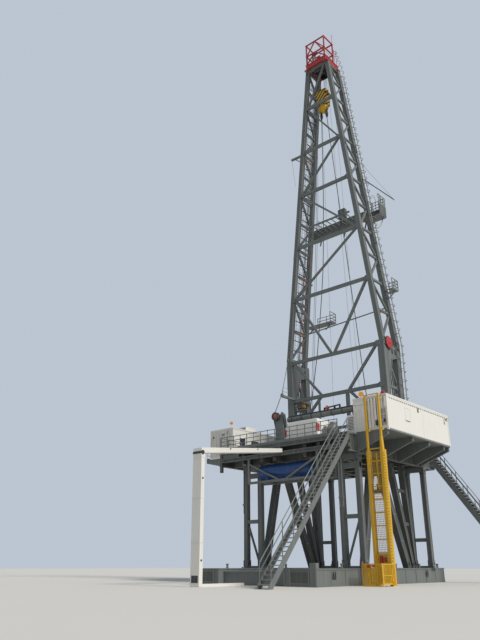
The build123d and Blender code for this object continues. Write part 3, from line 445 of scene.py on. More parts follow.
def mast_shoes():
    """Hinge lugs and pins at the mast's feet."""
    shape = Shape("mast_shoe_lugs")
    pins = Shape("mast_shoe_pins", "orange")
    for side in SIDES:
        for y in (MAST_REAR + 0.15, MAST_FRONT - 0.15):
            x = side * (MAST_HALF - 0.15)
            for k in (-1, 1):
                shape.post(x + k * 0.19, y, 0.02, 0.16, FLOOR_TOP + 0.1, FLOOR_TOP + 0.42)
            pins.turned((x - 0.27, y, FLOOR_TOP + 0.3), ALONG_X,
                        ((0, 0.05), (0.02, 0.07), (0.52, 0.07), (0.54, 0.05)), 16)


def ladder_cage():
    """Safety hoops round the mast's ladder, and the pipes and ladder inside the left panel."""
    shape = Shape("ladder_hoops", "galvanised")
    cable = Shape("mast_cables", "dark_steel")
    hose = Shape("mast_hoses", "red_paint")
    centres = [(mast_half(z) + 0.1 - 0.12 * max(0, z - 26.4), mast_front(z) - 0.1, z)
               for z in (6.2 + 0.4 * i for i in range(55))]
    for x, y, z in centres:
        shape.tube([(x + 0.17 * s, y - 0.15 * c, z) for c, s in arc(9, 22.5)], 0.014, 5)
    for c, s in arc(2, 144, 18):
        shape.tube([(x + 0.17 * s, y - 0.15 * c, z) for x, y, z in centres], 0.007, 5)
    levels = (FLOOR_TOP + 0.1, 7.5, MAST_BEND, 13, 16, 19, 22, 25.9)
    for run, side, inset, y, radius in ((shape, -1, 0.13, -0.32, 0.011), (shape, -1, 0.13, -0.08, 0.011),
                                        (cable, -1, 0.12, 0.04, 0.02), (cable, -1, 0.12, 0.13, 0.02),
                                        (cable, 1, 0.16, -0.4, 0.018), (cable, 1, 0.16, -0.3, 0.018)):
        run.tube([(leg_face(side, z, inset), y, z) for z in levels], radius, 6)
    for i in range(102):
        z = 5.6 + 0.2 * i
        x = leg_face(-1, z, 0.13)
        shape.tube([(x, -0.32, z), (x, -0.08, z)], 0.007, 5)
    for i in range(40):
        z = 6.0 + 0.5 * i
        cable.post(leg_face(-1, z, 0.12), -0.03, 0.02, 0.33, z - 0.015, z + 0.015)
    for y, z, size in ((0.42, 15.2, 0.07), (0.12, 14.85, 0.04), (0.1, 14.5, 0.05), (0.16, 13.0, 0.04),
                       (0.28, 12.2, 0.06), (0.32, 10.9, 0.05), (0.31, 10.55, 0.04)):
        hose.post(leg_face(-1, z, 0.12), y - 0.3 * size, 0.02, 0.7 * size, z - size, z + size)
    wave = [(8.5 + i * 0.25, 0.26 + 0.05 * math.sin(i * 0.8)) for i in range(26)]
    hose.tube([(leg_face(-1, z, 0.12), y, z) for z, y in wave], 0.014, 6)


def crown_fittings():
    """Rails, deck plates, posts and bearings of the crown, the guards of its sheaves, and thin dark plates on its deck
    as painted shade.
    """
    shape = Shape("crown_rails", "red_paint")
    dark = Shape("crown_bearings_and_deck_shade", "dark_steel")
    deck, top = 26.5, 26.8
    for side in SIDES:
        for y in (-0.77, 0.09):
            shape.post(side * 0.585, y, 0.05, 0.05, top - 0.002, top + 0.02)
            for z in (27.35, 28.13):
                shape.post(side * 0.585, y, 0.038, 0.038, z, z + 0.09)
        for z in (deck, 26.78):
            shape.post(side * 0.64, -0.16, 0.03, 0.65, z, z + 0.025)
        for y in (-0.71, 0.37):
            shape.post(side * 0.62, y, 0.13, 0.11, 26.44, deck)
    for z in (deck, 26.78):
        for y in (-0.8, 0.48):
            shape.post(0, y, 0.64, 0.012, z, z + 0.025)
    for x in (-0.55, 0.25):
        shape.row(4, (0.1, 0, 0), x - 0.006, -0.79, top, x + 0.006, 0.46, top + 0.014)
    for a, b in (((0.62, 0.42, top), (0.59, 0.42, 27.9)), ((0.62, 0.2, top), (0.59, 0.2, 27.9)),
                 ((0.585, 0.09, 27.7), (0.6, 0.42, 27.7))):
        shape.tube([a, b], 0.012, 6)
    for z in (27.0, 27.2):
        shape.tube([(x, y, z) for x, y in ((-0.585, 0.09), (-0.585, -0.77), (0.585, -0.77), (0.585, 0.09))], 0.011, 6)
    shape.box(-0.2, -0.4, 27.0, 0.05, -0.22, 27.4)
    shape.box(-0.16, -0.36, top, 0.01, -0.26, 27.0)
    shape.turned((-0.07, -0.31, 27.4), UP, ((0, 0.07), (0.06, 0.07), (0.09, 0.04)), 14)
    dark.turned((-0.4, -0.4, top), UP,
                ((0, 0.09), (0.05, 0.09), (0.07, 0.055), (0.8, 0.055), (0.82, 0.08), (0.98, 0.08), (1.0, 0.05)), 14)
    dark.bar((-0.4, -0.4, 27.7), (-0.2, -0.34, 27.76), 0.05, 0.05)
    # Thin dark plates on the deck: painted shade
    for x in (-0.355, 0.355):
        dark.post(x, -0.16, 0.145, 0.53, 26.503, 26.515)
    for x in (-0.2, 0.19):
        dark.box(x, HOIST_Y - 0.37, 26.12, x + 0.01, HOIST_Y + 0.37, deck)
    for y in (HOIST_Y - 0.38, HOIST_Y + 0.37):
        dark.box(-0.2, y, 26.12, 0.2, y + 0.01, deck)
    for x in (-0.13, 0.13):
        for c, s in arc(9, 22.5, 180):
            z = SHEAVE_Z + 0.322 * s
            dark.post(x, HOIST_Y - 0.322 * c, 0.006, 0.02, z - 0.02, z + 0.02)
    for x in (-0.142, 0.142):
        dark.turned((x, HOIST_Y, SHEAVE_Z), (x, 0, 0), ((-0.03, 0.1), (0.0, 0.1)), 16)
    for x in ROPE_X:
        for side in SIDES:
            dark.turned((x + side * 0.0245, HOIST_Y, SHEAVE_Z), (side, 0, 0), ((-0.001, 0.302), (0.003, 0.312)), 32)


def block_fittings():
    """Cheeks, hubs and rims of the travelling block, its saddle and its two link ends."""
    cheeks = Shape("block_cheeks", "striped", body="travelling_block")
    dark = Shape("block_hubs", "dark_steel", body="travelling_block")
    body = Shape("block_saddle", "yellow_paint", body="travelling_block", stands_for=("hook",))
    links = Shape("link_ends", "dark_steel", body="travelling_block")
    axle, low = 24.72, 23.97
    for side in SIDES:
        x = side * 0.26
        out = (side, 0, 0)
        cheeks.turned((x, HOIST_Y, axle), out, ((-0.002, 0.32), (0.02, 0.32), (0.03, 0.3)), 36)
        dark.turned((x + side * 0.025, HOIST_Y, axle), out, ((0, 0.1), (0.03, 0.095), (0.05, 0.05)), 20)
        for c, s in arc(10, 36):
            dark.bolt((x + side * 0.028, HOIST_Y + 0.26 * c, axle + 0.26 * s), out, 0.015, 0.014)
        cheeks.bar((x + side * 0.008, HOIST_Y, axle - 0.2), (x + side * 0.008, HOIST_Y, axle - 0.75), 0.34, 0.02, out)
        body.bar((side * 0.1, HOIST_Y, low - 0.05), (side * 0.2, HOIST_Y, low - 0.22), 0.2, 0.14, ALONG_Y)
        links.turned((side * 0.17, HOIST_Y, low - 0.16), DOWN,
                     ((0, 0.05), (0.12, 0.055), (0.2, 0.06), (0.3, 0.075), (0.42, 0.08), (0.5, 0.07), (0.62, 0.035),
                      (0.64, 0.02)), 16)
        links.tube([(side * 0.17, HOIST_Y + 0.075 * c, low - 0.56 + 0.11 * s) for c, s in arc(17, 22.5)], 0.024)
    for x in (-0.18, -0.09, 0, 0.09, 0.18):
        dark.tube([(x, HOIST_Y - 0.337 * c, axle + 0.337 * s) for c, s in arc(15, 12, 6)], 0.008, 5)
    body.turned((0, HOIST_Y, low + 0.02), DOWN,
                ((0, 0.22), (0.03, 0.25), (0.1, 0.262), (0.18, 0.25), (0.28, 0.2), (0.36, 0.15), (0.42, 0.09)), 32)


def ropes():
    """The drill lines, the lines below the block and those of the mast, with their rollers and winch."""
    lines = Shape("drill_ropes", "wire_rope", body=None, stands_for=("drill_lines",))
    hung = Shape("hung_lines", "wire_rope", body=None)
    dead = Shape("mast_lines", "wire_rope")
    winch = Shape("winch_motor", "orange")
    roll = Shape("guide_rollers")
    low = 24.84
    for x in ROPE_X:
        for side in SIDES:
            lines.tube([(x, HOIST_Y + side * 0.3185, low + (SHEAVE_Z - low) * i / 6) for i in range(7)], 0.0085)
    low = FLOOR_TOP + 0.12
    left = ((-0.17, 23.19), (-0.24, 21), (-0.33, 18.5), (-0.45, 16.2), (-0.58, 14.4), (-0.74, 13), (-0.93, 11.6),
            (-1.15, 10.1), (-1.42, 8.7), (-1.75, 7.2), (-2.15, low))
    right = [(0.17 + 1.33 * i / 12, 23.19 + (low - 23.19) * i / 12) for i in range(13)]
    for run in (left, right):
        hung.tube([(x, HOIST_Y, z) for x, z in run], 0.019)
    rear = MAST_REAR - 0.05
    roller = (0.1 - mast_half(9.9), rear, 9.9)
    head = (-0.62, rear, 26.35)
    stay = (3.14, 0.52, 17.24)
    dead.tube([(-0.68, -4.285, 6.28), (-2.28, -1.6, 8.07), roller], 0.017)
    dead.tube([roller, head], 0.011)
    dead.tube([(1.63, 0.5, 18.95), stay], 0.005, 6)
    dead.tube([(mast_half(STAY_Z) - 0.05, 0.52, STAY_Z), stay], 0.006, 6)
    for shift in (0.0, 0.09):
        run = ((-0.62, 26.5), (-0.98, 18.66), (-1.34, 13.8), (-1.72, 9.36), (-2.1, low))
        dead.tube([(x + shift, 0.1, z) for x, z in run], 0.009, 6)
    dead.tube([(-1.95, MAST_REAR + 0.06, 21.16), (-1.74, MAST_REAR, 19.4)], 0.006, 6)
    for x, y in ((-0.36, 0.2), (0.4, 0.2), (0.48, -0.45)):
        dead.tube([(x, y, 26.5), (x * 2.0, y, FLOOR_TOP + 0.05)], 0.005, 6)
    for x, y, z in (roller, head):
        roll.turned((x - 0.03, y, z), ALONG_X,
                    ((0, 0.075), (0.01, 0.08), (0.02, 0.055), (0.04, 0.055), (0.05, 0.08), (0.06, 0.075)), 20)
        for side in SIDES:
            roll.post(x + side * 0.038, y + 0.015, 0.006, 0.045, z - 0.1, z + 0.1)
    roll.bar((-2.28, 0.6, 7.94), (-2.28, -1.58, 7.94), 0.12, 0.1)
    roll.turned((-2.32, -1.6, 7.98), ALONG_X,
                ((0, 0.08), (0.02, 0.08), (0.03, 0.06), (0.05, 0.06), (0.06, 0.08), (0.08, 0.08)), 16)
    for z in (8.17, 8.37):
        roll.tube([(-2.28, *p) for p in ((-1.15, 7.97), (-1.15, z), (-1.52, z), (-1.54, 8.0))], 0.008, 5)
    near = MAST_REAR + 0.06
    roll.bar((-1.33, near, 21.18), (-1.97, near, 21.2), 0.1, 0.1)
    roll.bar((-1.4, near, 20.85), (-1.75, near, 21.15), 0.04, 0.04)
    for x, high, low, wide, deep in ((-0.88, 7.75, 6.7, 0.08, 0.08), (-0.88, 6.7, FLOOR_TOP + 0.01, 0.08, 0.08),
                                     (0.64, 7.75, FLOOR_TOP + 0.01, 0.15, 0.1)):
        roll.bar((x, MAST_REAR + 0.05, high), (x, MAST_REAR + 0.05, low), wide, deep, ALONG_Y)
    roll.box(-2.34, -0.64, 7.37, -1.72, -0.38, 7.43)
    roll.turned((-2.16, -0.51, 7.57), ALONG_X,
                ((0, 0.13), (0.02, 0.13), (0.02, 0.09), (0.22, 0.09), (0.22, 0.13), (0.24, 0.13)))
    winch.turned((-1.92, -0.51, 7.57), ALONG_X, ((0, 0.07), (0.03, 0.09), (0.12, 0.09), (0.15, 0.05)), 20)
    half, front = mast_half(11.7) - 0.1, mast_front(11.7) + 0.02
    roll.tube([(-half, front, 11.58), (half, front, 11.84)], 0.03)


def boards():
    """Hoops, racking fingers, braces and gratings of the mast's boards, the box on the racking board, and dark plates
    on the racking board's walls as painted shade.
    """
    shade = Shape("board_painted_shade", "painted_shade_steel")
    rails = Shape("board_rails", "galvanised")
    plates = Shape("board_plates")
    z = 16.78
    half, y0 = mast_half(z), mast_front(z - 0.09)
    left, inner, outer, edge = -1.8, 1.3, 2.33, 2.318
    foot, top, rail = z + 0.04, z + 0.6, z + 1.115
    plates.row(19, ((inner + 1.3) / 18, 0, 0), -1.35, y0 + 0.256, foot, -1.31, y0 + 0.276, top)
    plates.row(10, ((outer - inner - 0.06) / 9, 0, 0), inner + 0.01, 1.246, foot, inner + 0.05, 1.262, top)
    plates.row(6, (0, (1.15 - y0) / 5, 0), outer - 0.004, y0 + 0.08, foot, outer + 0.012, y0 + 0.12, top)
    plates.row(4, (0.12, 0, 0), left + 0.02, y0 + 0.256, foot, left + 0.06, y0 + 0.276, top)
    plates.row(9, (0.28, 0, 0), -1.22, MAST_REAR + 0.2, z + 0.002, -1.18, y0 + 0.02, z + 0.03)
    for x in (inner + 0.02, 1.65, 1.98, outer - 0.02):
        rails.tube([(x, 1.238, top), (x, 1.238, z + 1.11)], 0.017)
    rails.tube([(inner, 1.238, rail), (edge, 1.238, rail), (edge, y0, rail)], 0.02)
    for y in (y0 + 0.02, 0.75, 1.22):
        rails.tube([(edge, y, top), (edge, y, rail)], 0.017)
    for x in (1.85, 2.15):
        rails.tube([(x, 0.99 + 0.21 * c, rail + 0.26 * s) for c, s in arc(11, 18)], 0.014, 6)
    plates.box(left, y0, z, -1.342, y0 + 0.26, foot)
    plates.box(left, y0 + 0.24, foot, -1.342, y0 + 0.26, top)
    plates.box(left, y0 + 0.26, z, -1.45, 1.2, z + 0.03)
    for lift in (0.35, 0.75, 1.12):
        rails.tube([(x, y, z + lift) for x, y in ((-1.46, y0 + 0.25), (-1.46, 1.19), (left + 0.01, 1.19))], 0.012, 6)
    for x, y in ((-1.46, y0 + 0.27), (-1.46, 0.95), (-1.46, 1.19), (left + 0.01, 1.19)):
        rails.tube([(x, y, z + 0.02), (x, y, z + 1.13)], 0.014, 6)
    plates.box(-0.06, y0 + 0.03, z + 0.62, 0.34, y0 + 0.25, z + 1.12)
    for x in (-0.04, 0.29):
        plates.box(x, y0 + 0.2, z + 0.03, x + 0.03, y0 + 0.24, z + 0.63)
    plates.turned((0.14, y0 + 0.03, z + 0.86), REARWARDS, ((0, 0.16), (0.03, 0.16), (0.05, 0.1)), 16)
    # Dark plates on the racking board's outer and inner walls: painted shade
    shade.box(outer - 0.001, y0 + 0.01, z + 0.03, outer + 0.005, 1.24, top)
    shade.box(inner + 0.03, 1.222, z + 0.042, outer - 0.022, 1.2295, top)
    plates.post(0, MAST_REAR + 0.17, 1.3, 0.03, z - 0.04, foot)
    for x in (1.7, 2.2):
        rails.tube([(x - 0.2 * s, 0.55 + 0.6 * c, z - 0.7 * s) for c, s in arc(9, 11.25)], 0.025)
        rails.tube([(x - 0.2, 0.55, z - 0.7), (mast_half(z - 0.7) - 0.02, 0.55, z - 0.7)], 0.025)
    for x in (-1.25, 0.2, half - 0.4):
        end = (x, y0 + 0.25, z - 0.02)
        plates.bar((x, y0 + 0.02, z - 0.02), end, 0.06, 0.08)
        plates.bar((x, y0 + 0.04, z - 0.55), end, 0.05, 0.05)
    plates.grating((-1.33, y0 + 0.02, z + 0.038), (inner, y0 + 0.24), 0.05)
    plates.grating((inner + 0.02, y0 + 0.28, z + 0.038), (outer - 0.03, 1.22), 0.05)
    z = 11.93
    half, y0, rail = mast_half(z), mast_front(z), z + 0.54
    plates.grating((-half + 0.02, y0 + 0.02, z + 0.028), (-0.92, y0 + 0.47), 0.05)
    rails.tube([(-half + 0.4, y0 + 0.488, rail), (-0.912, y0 + 0.488, rail), (-0.912, y0, rail)], 0.017)
    for x in (-half + 0.2, -1.2):
        rails.bar((x, y0, z - 0.35), (x, y0 + 0.4, z - 0.01), 0.05, 0.05)
    z = 12.55
    half, middle, rail = mast_half(z), mast_front(z) - 0.1, z + 0.545
    rails.tube([(half + x, middle + y, rail) for x, y in ((0.05, 0.338), (0.438, 0.338), (0.438, -0.2))], 0.017)
    for y in (middle - 0.15, middle + 0.15):
        rails.bar((half + 0.01, y, z - 0.32), (half + 0.4, y, z - 0.01), 0.04, 0.04)


def lamp(shape, glass, place, out):
    """A flood lamp on a short bracket that points outwards."""
    place, out = Vector(place), Vector(out).normalized()
    shape.bar(place, place + out * 0.08, 0.03, 0.03)
    body = place + out * 0.08
    shape.turned(body, out, ((0, 0.03), (0.03, 0.06), (0.08, 0.075), (0.085, 0.075)), 16)
    glass.turned(body + out * 0.083, out, ((0, 0.066), (0.008, 0.06)), 16)


def lamps():
    """Flood lamps on the mast and cabins, and small orange lamps in the mast's legs."""
    orange = Shape("mast_lamps", "orange")
    shape = Shape("lamp_bodies", "galvanised")
    glass = Shape("lamp_glasses", "white_paint")
    for z in (9.2, 14.3, 19.9, 24.6):
        for side in SIDES:
            lamp(shape, glass, (leg_face(side, z, 0.1), mast_front(z) - 0.002, z), (0, 1, -0.3))
    for x in (3.4, 4.05):
        lamp(shape, glass, (x, -3.798, 6.42), (0, -1, -0.35))
    lamp(shape, glass, (-4.5, -2.898, 6.4), (0, -1, -0.5))
    lamp(shape, glass, (4.198, 1.0, 6.36), (1, 0, -0.5))
    for side, y, z in ((-1, -0.05, 21.03), (-1, 0.3, 20.1), (-1, 0.07, 14.2), (-1, 0.12, 11.4), (-1, 0.16, 9.24),
                       (1, -0.42, 19.6), (1, -0.2, 19.4), (1, -0.13, 11.4), (1, -0.36, 14.0)):
        x = leg_face(side, z, 0.13)
        orange.turned((x, y, z), (0, -0.3, -1),
                      ((-0.06, 0.02), (0, 0.04), (0.02, 0.055), (0.1, 0.05), (0.11, 0.02)), 12)
        shape.bar((x, y, z + 0.04), (x, MAST_REAR + 0.19, z + 0.06), 0.025, 0.025)


def base_trim():
    """Seams, recessed panels darkened as painted shade, lugs, bollards and corner posts of the base boxes."""
    shape = Shape("base_trim")
    dark = Shape("base_lugs", "dark_steel")
    panels = Shape("base_panel_painted_shade", "painted_shade_steel")
    bollard = ((0, 0.06), (0.02, 0.06), (0.02, 0.04), (0.12, 0.04), (0.13, 0.055), (0.16, 0.055), (0.165, 0.04))
    for side in SIDES:
        outer, inner = side * 2.75, side * 1.45
        for z in (0.0, 0.51):
            shape.box(outer, -6.6, z, outer + side * 0.016, 2.6, z + 0.04)
            shape.box(outer, -6.616, z, inner, -6.6, z + 0.04)
            shape.box(inner, -6.6, z, inner - side * 0.016, 2.6, z + 0.04)
        shape.row(11, (0, 0.836, 0), outer, -6.6, 0.03, outer + side * 0.014, -6.56, 0.52)
        for x in (outer - side * 0.02, outer - side * 0.28, outer - side * 1.04, inner + side * 0.02):
            shape.box(x - 0.022, -6.63, 0.03, x + 0.022, -6.6, 0.52)
        near, far = outer - side * 0.3, outer - side * 1.02
        for z in (0.08, 0.44):
            shape.box(near, -6.62, z, far, -6.6, z + 0.035)
        # A darker plate in each framed panel: painted shade in the recess
        panels.box(near, -6.606, 0.11, far, -6.6, 0.44)
        for y in (-6.35, -4.9, -1.2, 0.7, 2.3):
            shape.turned((outer - side * 0.14, y, 0.545), UP, bollard, 14)
        for y in (-5.6, -3.0, 1.0):
            for lug in (y - 0.06, y + 0.06):
                shape.box(outer, lug - 0.012, 0.3, outer + side * 0.05, lug + 0.012, 0.46)
            dark.turned((outer + side * 0.03, y - 0.09, 0.38), ALONG_Y, ((0, 0.018), (0.18, 0.018)), 10)
            dark.box(outer, y - 0.1, 0.22, outer + side * 0.02, y + 0.1, 0.34)
        corner = outer - side * 0.12
        shape.box(corner - 0.11, -6.61, 0.546, corner + 0.11, -6.42, 0.72)
        shape.box(corner - 0.11, -6.62, 0.0, corner + 0.11, -6.6, 0.72)
        for y in (-3.6, 1.6):
            for x in (side * 2.71, side * 1.96):
                shape.post(x, y, 0.17, 0.17, 0.548, 0.578)
                for dx in (-0.13, 0.13):
                    for dy in (-0.13, 0.13):
                        dark.bolt((x + dx, y + dy, 0.576), UP, 0.018, 0.02)
    for y in (-6.2, -3.6, 1.6, -0.9):
        shape.post(0, y, 1.45, 0.17, 0.41, 0.445)
        shape.post(0, y, 1.45, 0.17, 0.0, 0.03)


def leg_trim():
    """Flanges, pins and cross plates of the floor's legs and slanting struts."""
    shape = Shape("leg_trim")
    dark = Shape("leg_pins", "dark_steel")
    spots = Shape("pin_ends", "dark_steel")
    pin = ((0, 0.045), (0.015, 0.06), (0.225, 0.06), (0.24, 0.045))
    for side in SIDES:
        for y in (-3.6, 1.6):
            for x in (side * 2.7125, side * 1.9625):
                for k in (-0.0725, 0.0725):
                    for face in (-1, 1):
                        reach = face * 0.0875
                        for a, b, out in ((x + k, y + reach, (0, face, 0)), (x + reach, y + k, (face, 0, 0))):
                            shape.strip((a, b, 0.58), (a, b, FLOOR_LOW), 0.03, 0.012, out)
                for z in (0.72, 4.42):
                    dark.turned((x - 0.12, y, z), ALONG_X, pin, 14)
                    for plate in (x - 0.101, x + 0.101):
                        shape.post(plate, y, 0.011, 0.11, z - 0.12, z + 0.12)
                spots.turned((x, y - 0.088, 4.3), REARWARDS, ((0, 0.035), (0.02, 0.035), (0.03, 0.02)), 10)
        for foot, head, half in ((-2.95, -1.95, 0.13), (0.3, -1.5, 0.13), (0.66, -0.5, 0.09), (0.88, 0.45, 0.06)):
            for face in (-1, 1):
                x = side * 2.3 + face * 0.115
                for edge in (0.018 - half, half - 0.018):
                    shape.strip((x, foot + edge, 0.58), (x, head + edge, FLOOR_LOW), 0.03, 0.012, (face, 0, 0))
                for share in (0.04, 0.96):
                    y, z = foot + (head - foot) * share, 0.55 + 4.0 * share
                    dark.turned((x, y, z), (face, 0, 0), ((0, 0.07), (0.02, 0.07), (0.03, 0.05)), 16)
                    spots.turned((x + face * 0.03, y, z), (face, 0, 0), ((-0.002, 0.03), (0.012, 0.03)), 10)
                if half > 0.1:
                    for share in (0.25, 0.5, 0.75):
                        y, z = foot + (head - foot) * share, 0.55 + 4.0 * share
                        shape.strip((x, y - half, z), (x, y + half, z), 0.04, 0.01, (face, 0, 0))
        shape.bar((side * 1.875, -3.6, 4.13), (side * 2.8, -3.6, 4.13), 0.16, 0.19)
        for x in (side * 2.24, side * 2.36):
            shape.tube([(x, -4.2, 2.6), (x, -4.2, 4.5)], 0.02)
        shape.post(side * 2.3, -4.2, 0.1, 0.04, 2.9, 2.96)
        shape.post(side * 2.3, -4.2, 0.1, 0.04, 4.48, 4.55)


def floor_trim():
    """Girder flanges, stiffeners, gratings and the rotary table's ring."""
    shape = Shape("floor_trim")
    pins = Shape("floor_pins", "dark_steel")
    dark = Shape("table_ring", "dark_steel")
    low, high = FLOOR_LOW, 5.21
    shape.wall("y", FLOOR_REAR - 0.02, FLOOR_REAR + 0.001,
               *((x0, z0, x1, z1) for z0, z1 in ((5.03, 5.055), (high - 0.025, high), (4.7, 4.72), (4.83, 4.85))
                 for x0, x1 in ((FLOOR_LEFT, -0.63), (-0.19, 2.4))))
    for z in (low, high - 0.035):
        shape.box(FLOOR_LEFT - 0.03, FLOOR_REAR, z, FLOOR_LEFT + 0.001, FLOOR_FRONT - 0.002, z + 0.035)
        shape.box(FLOOR_RIGHT - 0.001, FLOOR_REAR, z, FLOOR_RIGHT + 0.03, FLOOR_FRONT - 0.46, z + 0.035)
    shape.box(FLOOR_LEFT + 0.12, FLOOR_REAR + 0.05, 4.86, -2.55, FLOOR_REAR + 0.06, 5.02)
    for i in range(10):
        x = FLOOR_LEFT + 0.3 + 0.62 * i
        if not -0.65 < x < -0.16:
            shape.box(x - 0.008, FLOOR_REAR - 0.018, 5.05, x + 0.008, FLOOR_REAR, high - 0.02)
            pins.turned((x, FLOOR_REAR, 4.775), REARWARDS, ((0, 0.03), (0.02, 0.03), (0.03, 0.02)), 10)
    for x0, x1 in ((FLOOR_LEFT - 0.028, FLOOR_LEFT), (FLOOR_RIGHT, FLOOR_RIGHT + 0.028)):
        shape.row(10, (0, 0.62, 0), x0, FLOOR_REAR + 0.292, low + 0.03, x1, FLOOR_REAR + 0.308, high - 0.03)
    span = (2.365 - FLOOR_LEFT) / 8
    for i in range(8):
        x, y = FLOOR_LEFT + 0.015 + span * (i + 0.5), FLOOR_REAR + 0.015
        shape.tube([(x, y, FLOOR_TOP), (x, y, FLOOR_TOP + 0.55)], 0.012, 6)
    for x0, y0, x1, y1 in ((-3.5, -4.25, -1.1, -2.95), (-3.5, -2.85, -1.5, 2.5), (1.5, -2.5, 2.75, 2.1),
                           (-5.78, -2.88, -5.57, 1.58)):
        shape.grating((x0, y0, FLOOR_TOP - 0.002), (x1, y1), 0.07)
    dark.turned((0, HOIST_Y, FLOOR_TOP + 0.088), UP, ((0, 0.43), (0.02, 0.43), (0.02, 0.26), (0.0, 0.26)), 40)
    for c, s in arc(16, 22.5):
        dark.bolt((0.36 * c, HOIST_Y + 0.36 * s, FLOOR_TOP + 0.106), UP, 0.02, 0.02)


def tank_trim():
    """Domed ends, bands, saddles and valves of the air tank."""
    dark = Shape("tank_fittings", "dark_steel")
    blue = Shape("tank_ends", "blue_paint")
    middle, y, z = -0.38, FLOOR_REAR + 0.4, 4.14
    for side in SIDES:
        blue.turned((middle + side * 1.175, y, z), (side, 0, 0),
                    ((-0.01, 0.2852), (0.0, 0.2852), (0.05, 0.27), (0.09, 0.23), (0.12, 0.16), (0.135, 0.07)), 32)
    for x in (middle - 0.95, middle, middle + 0.95):
        blue.turned((x - 0.02, y, z), ALONG_X, ((0, 0.286), (0, 0.292), (0.04, 0.292), (0.04, 0.286)), 40)
    for side in SIDES:
        blue.post(middle + side * 2.35 / 3, y, 0.05, 0.212, 3.797, 3.96)
    dark.turned((-0.9, y, z + 0.27), UP, ((0, 0.05), (0.04, 0.05), (0.04, 0.08), (0.06, 0.08), (0.07, 0.04)), 18)
    dark.turned((0.2, y, z + 0.27), UP, ((0, 0.025), (0.09, 0.025)), 10)


def stair_trim():
    """Round handrails and open treads of both stairs."""
    rails = Shape("stair_rails", "galvanised")
    treads = Shape("stair_gratings", "galvanised")
    rise = 0.13125
    for turned, across, top, run, sign in ((True, (2.42, 2.87), FLOOR_REAR, -4.85, -1),
                                           (False, (2.2, 2.65), FLOOR_RIGHT, 3.65, 1)):
        slope = FLOOR_TOP / abs(run)

        def place(along, aside, z):
            """A point of the stair, which runs along y or x."""
            return (aside, along, z) if turned else (along, aside, z)

        for aside in (across[0] + 0.012, across[1] - 0.012):
            rails.tube([place(top + sign * 0.024, aside, FLOOR_TOP + 0.51 - 0.024 * slope),
                        place(top + run - sign * 0.2, aside, 0.51 + 0.2 * slope)], 0.012, 8)
        for i in range(1, int(FLOOR_TOP / rise)):
            z = FLOOR_TOP - i * rise
            start = top + sign * ((i - 1) * rise / slope + 0.006)
            for k in range(5):
                near = start + sign * k * 0.03
                treads.box(place(near, across[0] + 0.022, z - 0.001),
                           place(near + sign * 0.006, across[1] - 0.022, z + 0.008))


def rim(a, low, b, high):
    """The four bars of a window's frame, each from its low to its high corner."""
    a0, low0, b1, high1 = a - 0.03, low - 0.03, b + 0.03, high + 0.03
    return (a0, low0, b1, low), (a0, high, b1, high1), (a0, low, a, high), (b, low, b1, high)


def jambs(a):
    """The three bars of a door's frame, each from its low to its high corner."""
    return (a - 0.035, 5.27, a, 6.3), (a + 0.42, 5.27, a + 0.455, 6.3), (a - 0.035, 6.27, a + 0.455, 6.305)


